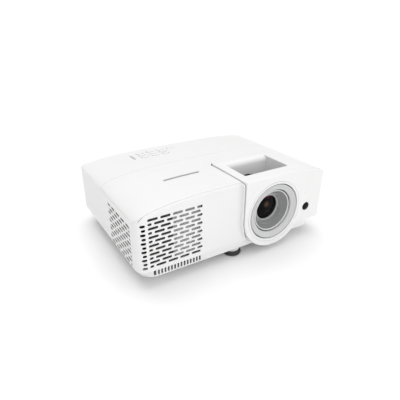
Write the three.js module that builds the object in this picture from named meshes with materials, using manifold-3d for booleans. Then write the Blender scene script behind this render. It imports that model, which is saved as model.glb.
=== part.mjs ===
// A home projector with a lens at one end of its front face: casing, lens, keypad, feet, ports and works.
// Millimetres, +Z up, front face towards -Y. The origin is on the ground under the middle of the object.
import * as THREE from "three";
import { mergeVertices } from "three/addons/utils/BufferGeometryUtils.js";
import Module from "manifold-3d";

const wasm = await Module();
wasm.setup();

// ---- driving dimensions ----------------------------------------------------------------------
const HALF_W = 158; // half the casing's width
const FRONT_Y = -112.5; // casing's front face
const REAR_Y = 119.5; // casing's rear face
const HOOD_Y = -119.5; // front plane of the hood round the lens
const WALL = 2.5; // casing wall
const GAP = 0.35; // clearance between neighbouring pieces
const CORNER_R = 13; // vertical corners of the casing
const FLOOR_Z = 12.5; // underside of the lower case
const SEAM_Z = 27; // bottom edge of the casing's main faces
const SIDE_Z = 97; // height where the side walls turn into the shoulders
const CROWN = 21.4; // rise from there to the crown at the front
const REAR_DROP = 9.5; // how much lower the crown is at the rear
const CROWN_POWER = 3.5; // how far the crown stays level before it falls to the shoulders
const SHOULDER_POWER = 0.56; // how steeply the shoulders fall
const REAR_EDGE_R = 15; // rounding of the crown's rear edge
const FRONT_EDGE_R = 4; // and of its front edge
const PARTING_Y = 12.5; // line between the top panel and the rear of the upper case

const LENS_X = 51.5; // lens axis, along Y
const LENS_Z = 63.1;
const HOOD_X = 52;
const HOOD_ROUND_Z = 62.3; // centre of the hood's round lower end
const HOOD_R = 54.8; // half the hood's width, and the radius of its round lower end
const HOOD_TOP_Z = 119.6;
const HOOD_REAR_Y = -28.5;
const HOOD_DEPTH = 9; // thickness of the hood's front plate
const COLLAR = 3.5; // width of the casing's collar round the hood
const POCKET = { x0: 12, x1: 89, y0: -97.5, y1: -49.5, floor: 79 }; // open pocket over the zoom ring
const LENS_BORE_R = 43; // opening in the hood's face
const TRIM_INNER_R = 33.2;
const FOCUS_R = 31.6;
const GLASS_Y = HOOD_Y + 18; // edge of the front element
const GLASS_R = 18.7;
const FOCUS_BACK_Y = -88;
const BARREL_R = 24;
const ZOOM_R = 29.5;
const ZOOM_TAB_RISE = 5; // how far the zoom ring's finger tab stands up from it

const GRILLE = 1.4; // thickness of the vents' plates
const SLOT = { long: 14, high: 3.6, pitchX: 17.08, pitchZ: 6.04 };
const SKIRT_SLOT = { count: 15, x: -133.5, pitch: 4.75, w: 2.7 };
const FRONT_VENT = { x0: -144, x1: -63, z0: 29.5, z1: 105.5, topRow: 101, rows: 12 };
const SIDE_VENT = { y0: -95.8, y1: -12, z0: 28.8, z1: 89.5, topRow: 86.2, rows: 10 };

const KEY = { w: 12, d: 7.6, rise: 0.7, footZ: 103.5, pitchX: 18.5, pitchY: 11.5, x: -67.5, y: 60.5 };

const FRONT_FOOT = { x: -3.5, y: -94, padR: 13.5, stemR: 4.5, hubR: 10.5, top: 41 };
const REAR_FOOT = { x: 124, y: 92, padR: 10.5, stemR: 4, hubR: 8, top: 36 };
const PAD_H = 6;
const PAD_FLOOR = 2.5; // rubber left under the screw's end

const FAN = { y: -59, z: 63.5, size: 62, deep: 15, hubR: 9, blades: 7, leftX: -151, rightX: 136 };
const LAMP = { y: 32, z: 57 }; // axis of the lamp's beam, along X
const LAMP_BOX = { x0: -104, x1: -34, y0: 2, y1: 62, z0: 22, z1: 92, wall: 3 };
const WHEEL = { y: 32, z: 44, r: 21, motorR: 7 };
const FINS = { count: 9, x: 12, pitch: 9.2, thick: 2 };

// ---- materials -------------------------------------------------------------------------------
const material = (color, roughness, metalness = 0) =>
  new THREE.MeshStandardMaterial({ color, roughness, metalness });
const white = material(0xf1f1f0, 0.45);
const offWhite = material(0xdededd, 0.5);
const greyPlastic = material(0xb9babb, 0.45);
const blackPlastic = material(0x1b1c1e, 0.5);
const rubber = material(0x2e2f31, 0.85);
const glass = material(0x0b0b10, 0.05);
const steel = material(0xa9abad, 0.35, 0.9);
const aluminium = material(0xb4b6b8, 0.4, 0.9);
const board = material(0x1f5a3a, 0.55);

// ---- solids ----------------------------------------------------------------------------------
const V2 = (x, y) => new THREE.Vector2(x, y);

// A closed three.js geometry as a manifold solid.
function solid(geometry) {
  const bare = geometry.clone();
  bare.deleteAttribute("normal");
  bare.deleteAttribute("uv");
  const merged = mergeVertices(bare, 1e-4);
  return new wasm.Manifold(
    new wasm.Mesh({
      numProp: 3,
      vertProperties: new Float32Array(merged.attributes.position.array),
      triVerts: new Uint32Array(merged.index.array),
    }),
  );
}

// A named three.js mesh from a manifold solid.
function meshOf(name, shape, look) {
  const data = shape.getMesh();
  const geometry = new THREE.BufferGeometry()
    .setAttribute("position", new THREE.BufferAttribute(new Float32Array(data.vertProperties), 3))
    .setIndex(new THREE.BufferAttribute(new Uint32Array(data.triVerts), 1));
  geometry.computeVertexNormals();
  const mesh = new THREE.Mesh(geometry, look);
  mesh.name = name;
  return mesh;
}

const join = (...shapes) => shapes.reduce((a, b) => a.add(b));

function box(x0, x1, y0, y1, z0, z1) {
  const geometry = new THREE.BoxGeometry(x1 - x0, y1 - y0, z1 - z0);
  return solid(geometry.translate((x0 + x1) / 2, (y0 + y1) / 2, (z0 + z1) / 2));
}

// A shape pushed along an axis. The shape's own plane is (y, z) for x, (x, z) for y and (x, y) for z.
function prism(axis, shape, from, to, steps = 1) {
  const geometry = new THREE.ExtrudeGeometry(shape, {
    depth: to - from,
    bevelEnabled: false,
    curveSegments: 6,
    steps,
  });
  if (axis === "x") {
    geometry.applyMatrix4(new THREE.Matrix4().set(0, 0, 1, from, 1, 0, 0, 0, 0, 1, 0, 0, 0, 0, 0, 1));
  } else if (axis === "y") {
    geometry.rotateX(Math.PI / 2).translate(0, to, 0);
  } else {
    geometry.translate(0, 0, from);
  }
  return solid(geometry);
}

// A round bar along an axis, through the point (a, b) of the plane across it.
function rod(axis, a, b, radius, from, to, sides = 32, radius2 = radius) {
  const geometry = new THREE.CylinderGeometry(radius2, radius, to - from, sides);
  const mid = (from + to) / 2;
  if (axis === "y") return solid(geometry.translate(a, mid, b));
  if (axis === "z") return solid(geometry.rotateX(Math.PI / 2).translate(a, b, mid));
  return solid(geometry.rotateZ(-Math.PI / 2).translate(mid, a, b));
}

// A body turned about the lens axis, from (radius, y) pairs.
function lensTurned(pairs, sides = 48) {
  const geometry = new THREE.LatheGeometry([...pairs, pairs[0]].map(([r, y]) => V2(r, y)), sides);
  const made = solid(geometry);
  const outward = made.volume() > 0 ? made : solid(
    new THREE.LatheGeometry([...pairs, pairs[0]].reverse().map(([r, y]) => V2(r, y)), sides),
  );
  return outward.translate([LENS_X, 0, LENS_Z]);
}

function roundedRect(x0, x1, y0, y1, r) {
  const shape = new THREE.Shape();
  shape.moveTo(x0 + r, y0);
  shape.lineTo(x1 - r, y0).absarc(x1 - r, y0 + r, r, -Math.PI / 2, 0);
  shape.lineTo(x1, y1 - r).absarc(x1 - r, y1 - r, r, 0, Math.PI / 2);
  shape.lineTo(x0 + r, y1).absarc(x0 + r, y1 - r, r, Math.PI / 2, Math.PI);
  shape.lineTo(x0, y0 + r).absarc(x0 + r, y0 + r, r, Math.PI, 1.5 * Math.PI);
  return shape;
}

// ---- the casing's outer form -----------------------------------------------------------------
// How far the crown has dropped at y: level at the front, steeper towards the rear.
const drop = (y) => REAR_DROP * ((y - FRONT_Y) / (REAR_Y - FRONT_Y)) ** 2;

// The whole casing as one solid, inset by t, from height z0 up.
function casing(t, z0) {
  const halfW = HALF_W - t;
  const crown = CROWN - t;
  const section = new THREE.Shape();
  section.moveTo(-halfW, z0);
  section.lineTo(halfW, z0);
  const steps = 18;
  for (let i = 0; i <= steps; i++) {
    const across = Math.cos((Math.PI * i) / steps);
    const fall = Math.max(0, 1 - Math.abs(across) ** CROWN_POWER);
    section.lineTo(halfW * across, SIDE_Z + crown * fall ** SHOULDER_POWER);
  }
  section.closePath();
  const lower = (point) => {
    point[2] -= drop(point[1]) * Math.max(0, point[2] - SIDE_Z) / crown;
  };
  const body = prism("y", section, FRONT_Y + t, REAR_Y - t, 5).warp(lower);
  const plan = prism("z", roundedRect(
    -halfW, halfW, FRONT_Y + t, REAR_Y - t, Math.max(2, CORNER_R - t),
  ), z0, 140);
  return body.intersect(plan).intersect(sideView(t, z0));
}

// The casing seen from the side, with its front and rear top edges rounded.
function sideView(t, z0) {
  const frontTop = SIDE_Z + CROWN - t;
  const rearTop = frontTop - REAR_DROP + 0.6;
  const y0 = FRONT_Y + t;
  const y1 = REAR_Y - t;
  const view = new THREE.Shape();
  view.moveTo(y0, z0);
  view.lineTo(y1, z0);
  view.lineTo(y1, rearTop - REAR_EDGE_R);
  view.absarc(y1 - REAR_EDGE_R, rearTop - REAR_EDGE_R, REAR_EDGE_R, 0, Math.PI / 2);
  view.lineTo(y0 + FRONT_EDGE_R, frontTop + 0.2);
  view.absarc(y0 + FRONT_EDGE_R, frontTop - FRONT_EDGE_R, FRONT_EDGE_R, Math.PI / 2, Math.PI);
  view.closePath();
  return prism("x", view, -200, 200);
}

// The hood's outline from the front: straight sides over a round lower end, grown by g.
function arch(g, zTop) {
  const r = HOOD_R + g;
  const shape = new THREE.Shape();
  shape.moveTo(HOOD_X + r, HOOD_ROUND_Z);
  shape.lineTo(HOOD_X + r, zTop);
  shape.lineTo(HOOD_X - r, zTop);
  shape.lineTo(HOOD_X - r, HOOD_ROUND_Z);
  shape.absarc(HOOD_X, HOOD_ROUND_Z, r, Math.PI, 2 * Math.PI);
  return shape;
}

// The room that the hood takes out of the casing.
const hoodRoom = (g) => join(
  prism("y", arch(g, 140), HOOD_Y - 5, HOOD_Y + HOOD_DEPTH + 1),
  box(HOOD_X - HOOD_R - g, HOOD_X + HOOD_R + g, HOOD_Y - 5, HOOD_REAR_Y + g, SIDE_Z - 2, 140),
);

// ---- vents -----------------------------------------------------------------------------------
// Slot centres and widths of one row: rows start with a long and with a short slot in turn.
function rowSlots(row, start, end) {
  const slots = [];
  const offset = row % 2 ? -SLOT.pitchX / 2 : 0;
  for (let left = start + offset; left < end; left += SLOT.pitchX) {
    const a = Math.max(start, left);
    const b = Math.min(end, left + SLOT.long);
    if (b - a > 2) slots.push([a, b]);
  }
  return slots;
}

function ventCuts(vent, start, end, cut) {
  let cuts = null;
  for (let row = 0; row < vent.rows; row++) {
    const z = vent.topRow - row * SLOT.pitchZ;
    for (const [a, b] of rowSlots(row, start, end)) {
      const one = cut(a, b, z - SLOT.high / 2, z + SLOT.high / 2);
      cuts = cuts ? cuts.add(one) : one;
    }
  }
  return cuts;
}

function frontVent() {
  const v = FRONT_VENT;
  const plate = box(v.x0 + GAP, v.x1 - GAP, FRONT_Y, FRONT_Y + GRILLE, v.z0 + GAP, v.z1 - GAP);
  return plate.subtract(ventCuts(v, v.x0 + 2.2, v.x1 - 2.2, (a, b, z0, z1) =>
    box(a, b, FRONT_Y - 1, FRONT_Y + WALL + 1, z0, z1)));
}

function sideVent(side) {
  const v = SIDE_VENT;
  const x0 = side < 0 ? -HALF_W : HALF_W - GRILLE;
  const plate = box(x0, x0 + GRILLE, v.y0 + GAP, v.y1 - GAP, v.z0 + GAP, v.z1 - GAP);
  return plate.subtract(ventCuts(v, v.y0 + 2.5, v.y1 - 2.5, (a, b, z0, z1) =>
    box(x0 - 1, x0 + WALL + 1, a, b, z0, z1)));
}

// Short slots round the casing's front left corner, one to a row.
function cornerSlots() {
  let cuts = null;
  for (let row = 1; row < FRONT_VENT.rows; row++) {
    const z = FRONT_VENT.topRow - row * SLOT.pitchZ - 0.6;
    const x0 = row % 2 ? -151.6 : -150.4;
    const one = box(x0, -145, FRONT_Y - 1, FRONT_Y + 9, z - SLOT.high / 2, z + SLOT.high / 2);
    cuts = cuts ? cuts.add(one) : one;
  }
  return cuts;
}

// ---- casing pieces ---------------------------------------------------------------------------
const PANEL = { y0: FRONT_Y + 2.2, y1: PARTING_Y, z: SIDE_Z + 0.5 };
const REAR_PANEL = { x0: -44, x1: 122, z0: 40, z1: 84, deep: 5 };
const INLET = { x: -108, z: 56, w: 28, h: 22 };

const keyPlaces = () => {
  const names = [
    ["menu", "down", "info"],
    ["left", "enter", "right"],
    ["source", "up", "resync"],
  ];
  const keys = [];
  names.forEach((row, j) => row.forEach((name, i) => keys.push({
    name: `key_${name}`, x: KEY.x + i * KEY.pitchX, y: KEY.y + j * KEY.pitchY,
  })));
  keys.push({ name: "key_power", x: KEY.x + 3 * KEY.pitchX, y: KEY.y + 2 * KEY.pitchY });
  return keys;
};

const keyOutline = (key, g) => roundedRect(
  key.x - KEY.w / 2 - g, key.x + KEY.w / 2 + g, key.y - KEY.d / 2 - g, key.y + KEY.d / 2 + g, 2.5,
);

const SENSOR = { x: 121, z: 51, r: 6.3 };
const LED = { x: -84.5, y0: 58, y1: 82, w: 3 };

function upperCase() {
  let shell = casing(0, SEAM_Z).subtract(casing(WALL, SEAM_Z - 1));
  // a collar stands proud of the front, round the hood
  const collar = prism("y", arch(COLLAR, SIDE_Z + CROWN - 1), HOOD_Y + 1, FRONT_Y + WALL)
    .intersect(box(-HALF_W, HALF_W, HOOD_Y, FRONT_Y + WALL, SEAM_Z, 140));
  shell = shell.add(collar).subtract(hoodRoom(GAP));
  // the top panel's opening, with the shoulders
  shell = shell.subtract(box(-200, 200, PANEL.y0, PANEL.y1, PANEL.z, 140));
  // openings for the vents
  const v = FRONT_VENT;
  shell = shell.subtract(box(v.x0, v.x1, FRONT_Y - 1, FRONT_Y + WALL + 1, v.z0, v.z1));
  const s = SIDE_VENT;
  shell = shell.subtract(box(-200, -HALF_W + WALL + 1, s.y0, s.y1, s.z0, s.z1));
  shell = shell.subtract(box(HALF_W - WALL - 1, 200, s.y0, s.y1, s.z0, s.z1));
  shell = shell.subtract(cornerSlots());
  // rear recess for the connectors, and the mains inlet's hole
  const r = REAR_PANEL;
  shell = shell.subtract(box(r.x0, r.x1, REAR_Y - 9, REAR_Y + 1, r.z0, r.z1));
  shell = shell.subtract(box(
    INLET.x - INLET.w / 2 - GAP, INLET.x + INLET.w / 2 + GAP, REAR_Y - 9, REAR_Y + 1,
    INLET.z - INLET.h / 2 - GAP, INLET.z + INLET.h / 2 + GAP,
  ));
  // infrared window's hole, keys and status lights
  shell = shell.subtract(rod("y", SENSOR.x, SENSOR.z, SENSOR.r + GAP, FRONT_Y - 1, FRONT_Y + 8, 24));
  for (const key of keyPlaces()) shell = shell.subtract(prism("z", keyOutline(key, GAP), 90, 140));
  shell = shell.subtract(box(LED.x - LED.w / 2 - GAP, LED.x + LED.w / 2 + GAP,
    LED.y0 - GAP, LED.y1 + GAP, 90, 140));
  return shell;
}

function topPanel() {
  const lid = casing(0, SEAM_Z).subtract(casing(WALL, SEAM_Z - 1));
  const room = box(-200, 200, PANEL.y0 + GAP, PANEL.y1 - GAP, PANEL.z + GAP, 140);
  return lid.intersect(room).subtract(hoodRoom(GAP));
}

function lowerCase() {
  const ring = (inset, r, z0, z1) => prism("z", roundedRect(
    -HALF_W + inset.left, HALF_W - inset.right, FRONT_Y + inset.end, REAR_Y - inset.end, r,
  ), z0, z1);
  // the skirt that shows, set in from the faces, and a flange that closes the upper case from inside
  const skirt = { left: 8, right: 15, end: 4 };
  const flange = { left: WALL + GAP, right: WALL + GAP, end: WALL + GAP };
  const inside = (edge) => ({ left: edge.left + WALL, right: edge.right + WALL, end: edge.end + WALL });
  let tray = ring(skirt, 22, FLOOR_Z, SEAM_Z + 0.5)
    .subtract(ring(inside(skirt), 20, FLOOR_Z + WALL, SEAM_Z + 1));
  tray = tray.add(ring(flange, 18, SEAM_Z + 0.2, SEAM_Z + WALL)
    .subtract(ring(inside(skirt), 20, SEAM_Z, SEAM_Z + WALL + 1)));
  for (const foot of feet()) {
    tray = tray.add(rod("z", foot.x, foot.y, foot.stemR + 3.5, FLOOR_Z, foot.top - 6, 24));
  }
  for (const foot of feet()) {
    tray = tray.subtract(rod("z", foot.x, foot.y, foot.stemR + 0.5, FLOOR_Z - 1, foot.top, 24));
  }
  // bosses for a ceiling bracket, proud of the underside
  for (const [x, y] of CEILING_BOSSES) {
    tray = tray.add(rod("z", x, y, 6, FLOOR_Z - 1, FLOOR_Z + 9, 24))
      .subtract(rod("z", x, y, 2, FLOOR_Z - 2, FLOOR_Z + 8, 16));
  }
  for (const screw of SCREWS.slice(1)) {
    tray = tray.subtract(rod("z", screw.x, screw.y, 3.4, FLOOR_Z - 1, FLOOR_Z + 1.2, 20))
      .subtract(rod("z", screw.x, screw.y, 1.7, FLOOR_Z - 1, FLOOR_Z + WALL + 1, 16));
  }
  // upright vent slots along the skirt under the front vent
  const v = SKIRT_SLOT;
  for (let i = 0; i < v.count; i++) {
    const x = v.x + i * v.pitch;
    tray = tray.subtract(box(x - v.w / 2, x + v.w / 2, FRONT_Y, FRONT_Y + 8, FLOOR_Z + 3.3, SEAM_Z - 3.4));
  }
  // opening for the lamp, closed by its door
  const d = LAMP_DOOR;
  tray = tray.subtract(box(d.x0, d.x1, d.y0, d.y1, FLOOR_Z - 1, FLOOR_Z + WALL + 1));
  return tray.subtract(hoodRoom(GAP));
}

const LAMP_DOOR = { x0: -122, x1: -52, y0: -8, y1: 72 };
const CEILING_BOSSES = [[-100, -45], [100, -45], [0, 85]]; // (x, y) of each
const SCREWS = [
  { name: "lamp_door_screw", x: -60, y: 32 },
  { name: "case_screw_left", x: -138, y: 40 },
  { name: "case_screw_right", x: 128, y: 40 },
];

// A pan-head screw set into the underside, with a cross slot.
function caseScrew(screw) {
  const headBottom = FLOOR_Z - 0.4;
  const slot = (w, d) => box(screw.x - w, screw.x + w, screw.y - d, screw.y + d,
    headBottom - 1, headBottom + 0.8);
  return rod("z", screw.x, screw.y, 3, headBottom, FLOOR_Z + 1, 24)
    .add(rod("z", screw.x, screw.y, 1.35, FLOOR_Z + 0.9, FLOOR_Z + 8, 16))
    .subtract(slot(1.9, 0.35))
    .subtract(slot(0.35, 1.9));
}

function lampDoor() {
  const d = LAMP_DOOR;
  const door = box(d.x0 + GAP, d.x1 - GAP, d.y0 + GAP, d.y1 - GAP, FLOOR_Z, FLOOR_Z + WALL);
  const screw = SCREWS[0];
  return door.subtract(rod("z", screw.x, screw.y, 3.4, FLOOR_Z - 1, FLOOR_Z + 1.2, 20))
    .subtract(rod("z", screw.x, screw.y, 1.7, FLOOR_Z - 1, FLOOR_Z + WALL + 1, 16));
}

function lensHood() {
  const plate = prism("y", arch(0, HOOD_TOP_Z), HOOD_Y, HOOD_Y + HOOD_DEPTH);
  const x0 = HOOD_X - HOOD_R;
  const x1 = HOOD_X + HOOD_R;
  const roof = box(x0, x1, HOOD_Y, HOOD_REAR_Y, HOOD_TOP_Z - 22, HOOD_TOP_Z);
  const roofHollow = box(x0 + WALL, x1 - WALL, HOOD_Y + HOOD_DEPTH, HOOD_REAR_Y - WALL,
    HOOD_TOP_Z - 30, HOOD_TOP_Z - WALL);
  const p = POCKET;
  const tub = box(p.x0 - WALL, p.x1 + WALL, p.y0 - WALL, p.y1 + WALL, p.floor - WALL, HOOD_TOP_Z);
  let hood = plate.add(roof.subtract(roofHollow)).add(tub);
  hood = hood.subtract(box(p.x0, p.x1, p.y0, p.y1, p.floor, HOOD_TOP_Z + 5));
  hood = hood.subtract(rod("y", LENS_X, LENS_Z, ZOOM_R + 4, HOOD_Y + HOOD_DEPTH, p.y1 + 10, 32));
  return hood.subtract(rod("y", LENS_X, LENS_Z, LENS_BORE_R, HOOD_Y - 1, HOOD_Y + HOOD_DEPTH + 1, 48));
}

function rearPanel() {
  const r = REAR_PANEL;
  const y1 = REAR_Y - r.deep + WALL;
  let panel = box(r.x0 + GAP, r.x1 - GAP, REAR_Y - r.deep, y1, r.z0 + GAP, r.z1 - GAP);
  for (const port of PORTS) {
    panel = panel.subtract(box(port.x - port.w / 2 - GAP, port.x + port.w / 2 + GAP,
      REAR_Y - 10, REAR_Y + 1, BOARD_Z - GAP, BOARD_Z + port.h + GAP));
  }
  return panel;
}

// ---- connectors ------------------------------------------------------------------------------
const BOARD_Z = 56; // top of the connector board
const PORTS = [
  { name: "hdmi_port_1", x: 96, w: 15, h: 6.4, mouthW: 13.8, mouthH: 4.6, tongue: true },
  { name: "hdmi_port_2", x: 70, w: 15, h: 6.4, mouthW: 13.8, mouthH: 4.6, tongue: true },
  { name: "usb_port", x: 44, w: 14.4, h: 7.6, mouthW: 12.6, mouthH: 5.6, tongue: true },
  { name: "audio_jack", x: 20, w: 9, h: 8, round: 1.8 },
  { name: "trigger_jack", x: 0, w: 9, h: 8, round: 1.8 },
];

function port(p) {
  const y0 = REAR_Y - 19;
  const y1 = REAR_Y - 2.2;
  const z0 = BOARD_Z + GAP;
  const z1 = BOARD_Z + p.h;
  const zm = (z0 + z1) / 2;
  const body = box(p.x - p.w / 2, p.x + p.w / 2, y0, y1, z0, z1);
  if (p.round) return body.subtract(rod("y", p.x, zm, p.round, y0 + 3, y1 + 1, 16));
  const mouth = box(p.x - p.mouthW / 2, p.x + p.mouthW / 2, y0 + 4, y1 + 1,
    zm - p.mouthH / 2, zm + p.mouthH / 2);
  const tongue = box(p.x - p.mouthW / 2 + 1.2, p.x + p.mouthW / 2 - 1.2, y0 + 3, y1 - 2,
    zm - 0.7, zm + 0.7);
  return body.subtract(mouth).add(tongue);
}

function mainsInlet() {
  const i = INLET;
  const y1 = REAR_Y - 1;
  const y0 = y1 - 24;
  let body = box(i.x - i.w / 2, i.x + i.w / 2, y0, y1, i.z - i.h / 2, i.z + i.h / 2);
  body = body.subtract(box(i.x - 12, i.x + 12, y1 - 16, y1 + 1, i.z - 8, i.z + 8));
  const pins = [[-7, -2], [7, -2], [0, 3.5]];
  for (const [dx, dz] of pins) {
    body = body.add(box(i.x + dx - 1, i.x + dx + 1, y1 - 17, y1 - 9, i.z + dz - 2, i.z + dz + 2));
  }
  return body;
}

// ---- lens ------------------------------------------------------------------------------------
const trimRing = () => lensTurned([
  [TRIM_INNER_R, HOOD_Y + 3.2], [LENS_BORE_R - GAP - 1.5, HOOD_Y + 0.4],
  [LENS_BORE_R - GAP, HOOD_Y + 1.2], [LENS_BORE_R - GAP, HOOD_Y + HOOD_DEPTH],
  [TRIM_INNER_R, HOOD_Y + HOOD_DEPTH],
]);

const focusRing = () => lensTurned([
  [GLASS_R + GAP, GLASS_Y + 6], [GLASS_R + GAP, GLASS_Y], [22.5, GLASS_Y - 3.5],
  [22.5, GLASS_Y - 4.5], [26, GLASS_Y - 8.5], [26, GLASS_Y - 9.5], [29.3, HOOD_Y + 5.6],
  [30, HOOD_Y + 5],
  [FOCUS_R, HOOD_Y + 6], [FOCUS_R, FOCUS_BACK_Y], [BARREL_R + GAP, FOCUS_BACK_Y],
  [BARREL_R + GAP, GLASS_Y + 6],
]);

// The front element, a shallow dome in front and flat behind.
function frontGlass() {
  const radius = GLASS_R;
  const bulge = 3.4;
  const pairs = [[0, GLASS_Y + 5]];
  pairs.push([radius, GLASS_Y + 5], [radius, GLASS_Y + 1]);
  for (let i = 1; i <= 6; i++) {
    const r = radius * (1 - i / 6);
    pairs.push([r, GLASS_Y + 1 - bulge * (1 - (r / radius) ** 2)]);
  }
  const made = solid(new THREE.LatheGeometry(pairs.map(([r, y]) => V2(r, y)), 48));
  const facing = made.volume() > 0 ? made : solid(
    new THREE.LatheGeometry([...pairs].reverse().map(([r, y]) => V2(r, y)), 48),
  );
  return facing.translate([LENS_X, 0, LENS_Z]);
}

const lensBarrel = () => lensTurned([
  [BARREL_R - 2.5, GLASS_Y + 6.5], [BARREL_R, GLASS_Y + 6.5], [BARREL_R, -20], [35, -20], [35, -14],
  [BARREL_R - 2.5, -14],
], 40);

const rearGlass = () => rod("y", LENS_X, LENS_Z, BARREL_R - 2.5 - GAP, -24, -18, 32);

// The zoom ring with its ribbed grip and the finger tab that stands up into the pocket.
function zoomRing() {
  const ring = lensTurned([
    [BARREL_R + 0.4, -86.5], [ZOOM_R, -86.5], [ZOOM_R, -56], [BARREL_R + 0.4, -56],
  ], 40);
  const tab = box(LENS_X - 5, LENS_X + 5, -85, -74, LENS_Z + BARREL_R + 2, LENS_Z + ZOOM_R + ZOOM_TAB_RISE);
  return ring.add(tab);
}

// ---- keypad ----------------------------------------------------------------------------------
function keyCap(key) {
  const cap = prism("z", keyOutline(key, 0), KEY.footZ, 140);
  return cap.intersect(casing(-KEY.rise, SEAM_Z));
}

function statusLights() {
  const bar = box(LED.x - LED.w / 2, LED.x + LED.w / 2, LED.y0, LED.y1, KEY.footZ, 140);
  return bar.intersect(casing(0.1, SEAM_Z));
}

// ---- feet ------------------------------------------------------------------------------------
function feet() {
  return [
    { name: "front_foot", ...FRONT_FOOT },
    { name: "rear_left_foot", ...REAR_FOOT, x: -REAR_FOOT.x },
    { name: "rear_right_foot", ...REAR_FOOT },
  ];
}

// The rubber pad stays still while the screw turns in its socket.
function footPad(foot) {
  const pad = rod("z", foot.x, foot.y, foot.padR - 0.8, 0, 1.5, 32, foot.padR)
    .add(rod("z", foot.x, foot.y, foot.padR, 1.5, PAD_H, 32, foot.padR - 1.2));
  return pad.subtract(rod("z", foot.x, foot.y, foot.stemR + GAP, PAD_FLOOR, PAD_H + 1, 24));
}

// The screw with its knurled hub.
function footScrew(foot) {
  const stem = rod("z", foot.x, foot.y, foot.stemR, PAD_FLOOR + GAP, foot.top, 24);
  const hub = rod("z", foot.x, foot.y, foot.hubR, PAD_H + GAP, FLOOR_Z - GAP, 24);
  return stem.add(hub);
}

// ---- works -----------------------------------------------------------------------------------
// An axial fan's square frame, from x0 on, with its axis along X.
function fanFrame(x0) {
  const { y, z, deep } = FAN;
  const h = FAN.size / 2;
  const spokeX = x0 + 2.5;
  const frame = box(x0, x0 + deep, y - h, y + h, z - h, z + h);
  const ring = rod("x", y, z, h - 2.5, x0 - 1, x0 + deep + 1, 32);
  const hub = rod("x", y, z, FAN.hubR, x0, spokeX, 20);
  const spokes = join(
    box(x0, spokeX, y - 1.5, y + 1.5, z - h + 1, z + h - 1),
    box(x0, spokeX, y - h + 1, y + h - 1, z - 1.5, z + 1.5),
  );
  return frame.subtract(ring).add(hub).add(spokes);
}

function fanRotor(x0) {
  let rotor = rod("x", 0, 0, FAN.hubR + 2, x0 + 3, x0 + FAN.deep - 1, 24);
  const tip = FAN.size / 2 - 4;
  const pitchAngle = 0.75;
  for (let i = 0; i < FAN.blades; i++) {
    const blade = new THREE.BoxGeometry(1.4, 11, tip - FAN.hubR);
    blade.rotateZ(pitchAngle).translate(0, 0, (tip + FAN.hubR) / 2);
    blade.rotateX((2 * Math.PI * i) / FAN.blades).translate(x0 + FAN.deep / 2 + 1, 0, 0);
    rotor = rotor.add(solid(blade));
  }
  return rotor.translate([0, FAN.y, FAN.z]);
}

// A box round the lamp, open towards the colour wheel.
function lampHousing() {
  const b = LAMP_BOX;
  return box(b.x0, b.x1, b.y0, b.y1, b.z0, b.z1).subtract(box(
    b.x0 + b.wall, b.x1 + 1, b.y0 + b.wall, b.y1 - b.wall, b.z0 + b.wall, b.z1 - b.wall,
  ));
}

// A bowl-shaped reflector that opens towards the colour wheel.
function lampReflector() {
  const pairs = [[4, -88], [27, -40], [25, -40], [3, -85]];
  const closed = [...pairs, pairs[0]].map(([r, x]) => V2(r, x));
  let bowl = solid(new THREE.LatheGeometry(closed, 32));
  if (bowl.volume() < 0) bowl = solid(new THREE.LatheGeometry(closed.reverse(), 32));
  return bowl.rotate([0, 0, -90]).translate([0, LAMP.y, LAMP.z]);
}

function colourWheel() {
  const disc = rod("x", WHEEL.y, WHEEL.z, WHEEL.r, -17, -15.6, 40);
  return disc.add(rod("x", WHEEL.y, WHEEL.z, WHEEL.motorR - 0.5, -20, -13.5, 24));
}

function heatSink() {
  let sink = box(10, 90, 66.5, 70, 36, 92);
  for (let i = 0; i < FINS.count; i++) {
    const x = FINS.x + i * FINS.pitch;
    sink = sink.add(box(x, x + FINS.thick, 69, 84, 37, 50));
  }
  return sink;
}

function opticalEngine() {
  const body = box(5, 96, -12, 66, 34, 94)
    .subtract(box(LENS_X - 22, LENS_X + 22, -13, 40, LENS_Z - 22, LENS_Z + 22));
  const arm = box(-33, 5.1, 8, 56, 22, 70)
    .subtract(box(-21.5, -11.5, 9.5, 54.5, 20, 68))
    .subtract(rod("x", WHEEL.y, WHEEL.z, WHEEL.motorR + 0.6, -34, -21, 24));
  return body.add(arm).subtract(rod("x", LAMP.y, LAMP.z, 6, -34, 40, 24));
}

function powerBoard() {
  return box(-112, -34, 70, 112, 32.4, 34)
    .add(box(-88, -60, 72, 92, 33.9, 56))
    .add(box(-54, -38, 76, 108, 33.9, 46));
}

function mainBoard() {
  return box(-66, 126, 14, 60, 96.4, 98)
    .add(box(30, 58, 22, 48, 97.9, 101));
}

// ---- the object ------------------------------------------------------------------------------
const projector = new THREE.Group();
const add = (name, shape, look) => projector.add(meshOf(name, shape, look));

add("upper_case", upperCase(), white);
add("lower_case", lowerCase(), white);
add("top_panel", topPanel(), white);
add("lens_hood", lensHood(), white);
add("front_vent", frontVent(), white);
add("left_vent", sideVent(-1), white);
add("right_vent", sideVent(1), white);
add("rear_panel", rearPanel(), offWhite);
add("lamp_door", lampDoor(), white);
for (const screw of SCREWS) add(screw.name, caseScrew(screw), steel);
add("name_bar", casing(-0.8, SEAM_Z).subtract(casing(-GAP, SEAM_Z - 1))
  .intersect(prism("z", roundedRect(-88, -32, -49.5, -46, 1.6), 100, 140)), greyPlastic);

add("lens_trim_ring", trimRing(), greyPlastic);
add("focus_ring", focusRing(), greyPlastic);
add("front_lens", frontGlass(), glass);
add("lens_barrel", lensBarrel(), blackPlastic);
add("rear_lens", rearGlass(), glass);
add("zoom_ring", zoomRing(), blackPlastic);

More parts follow.
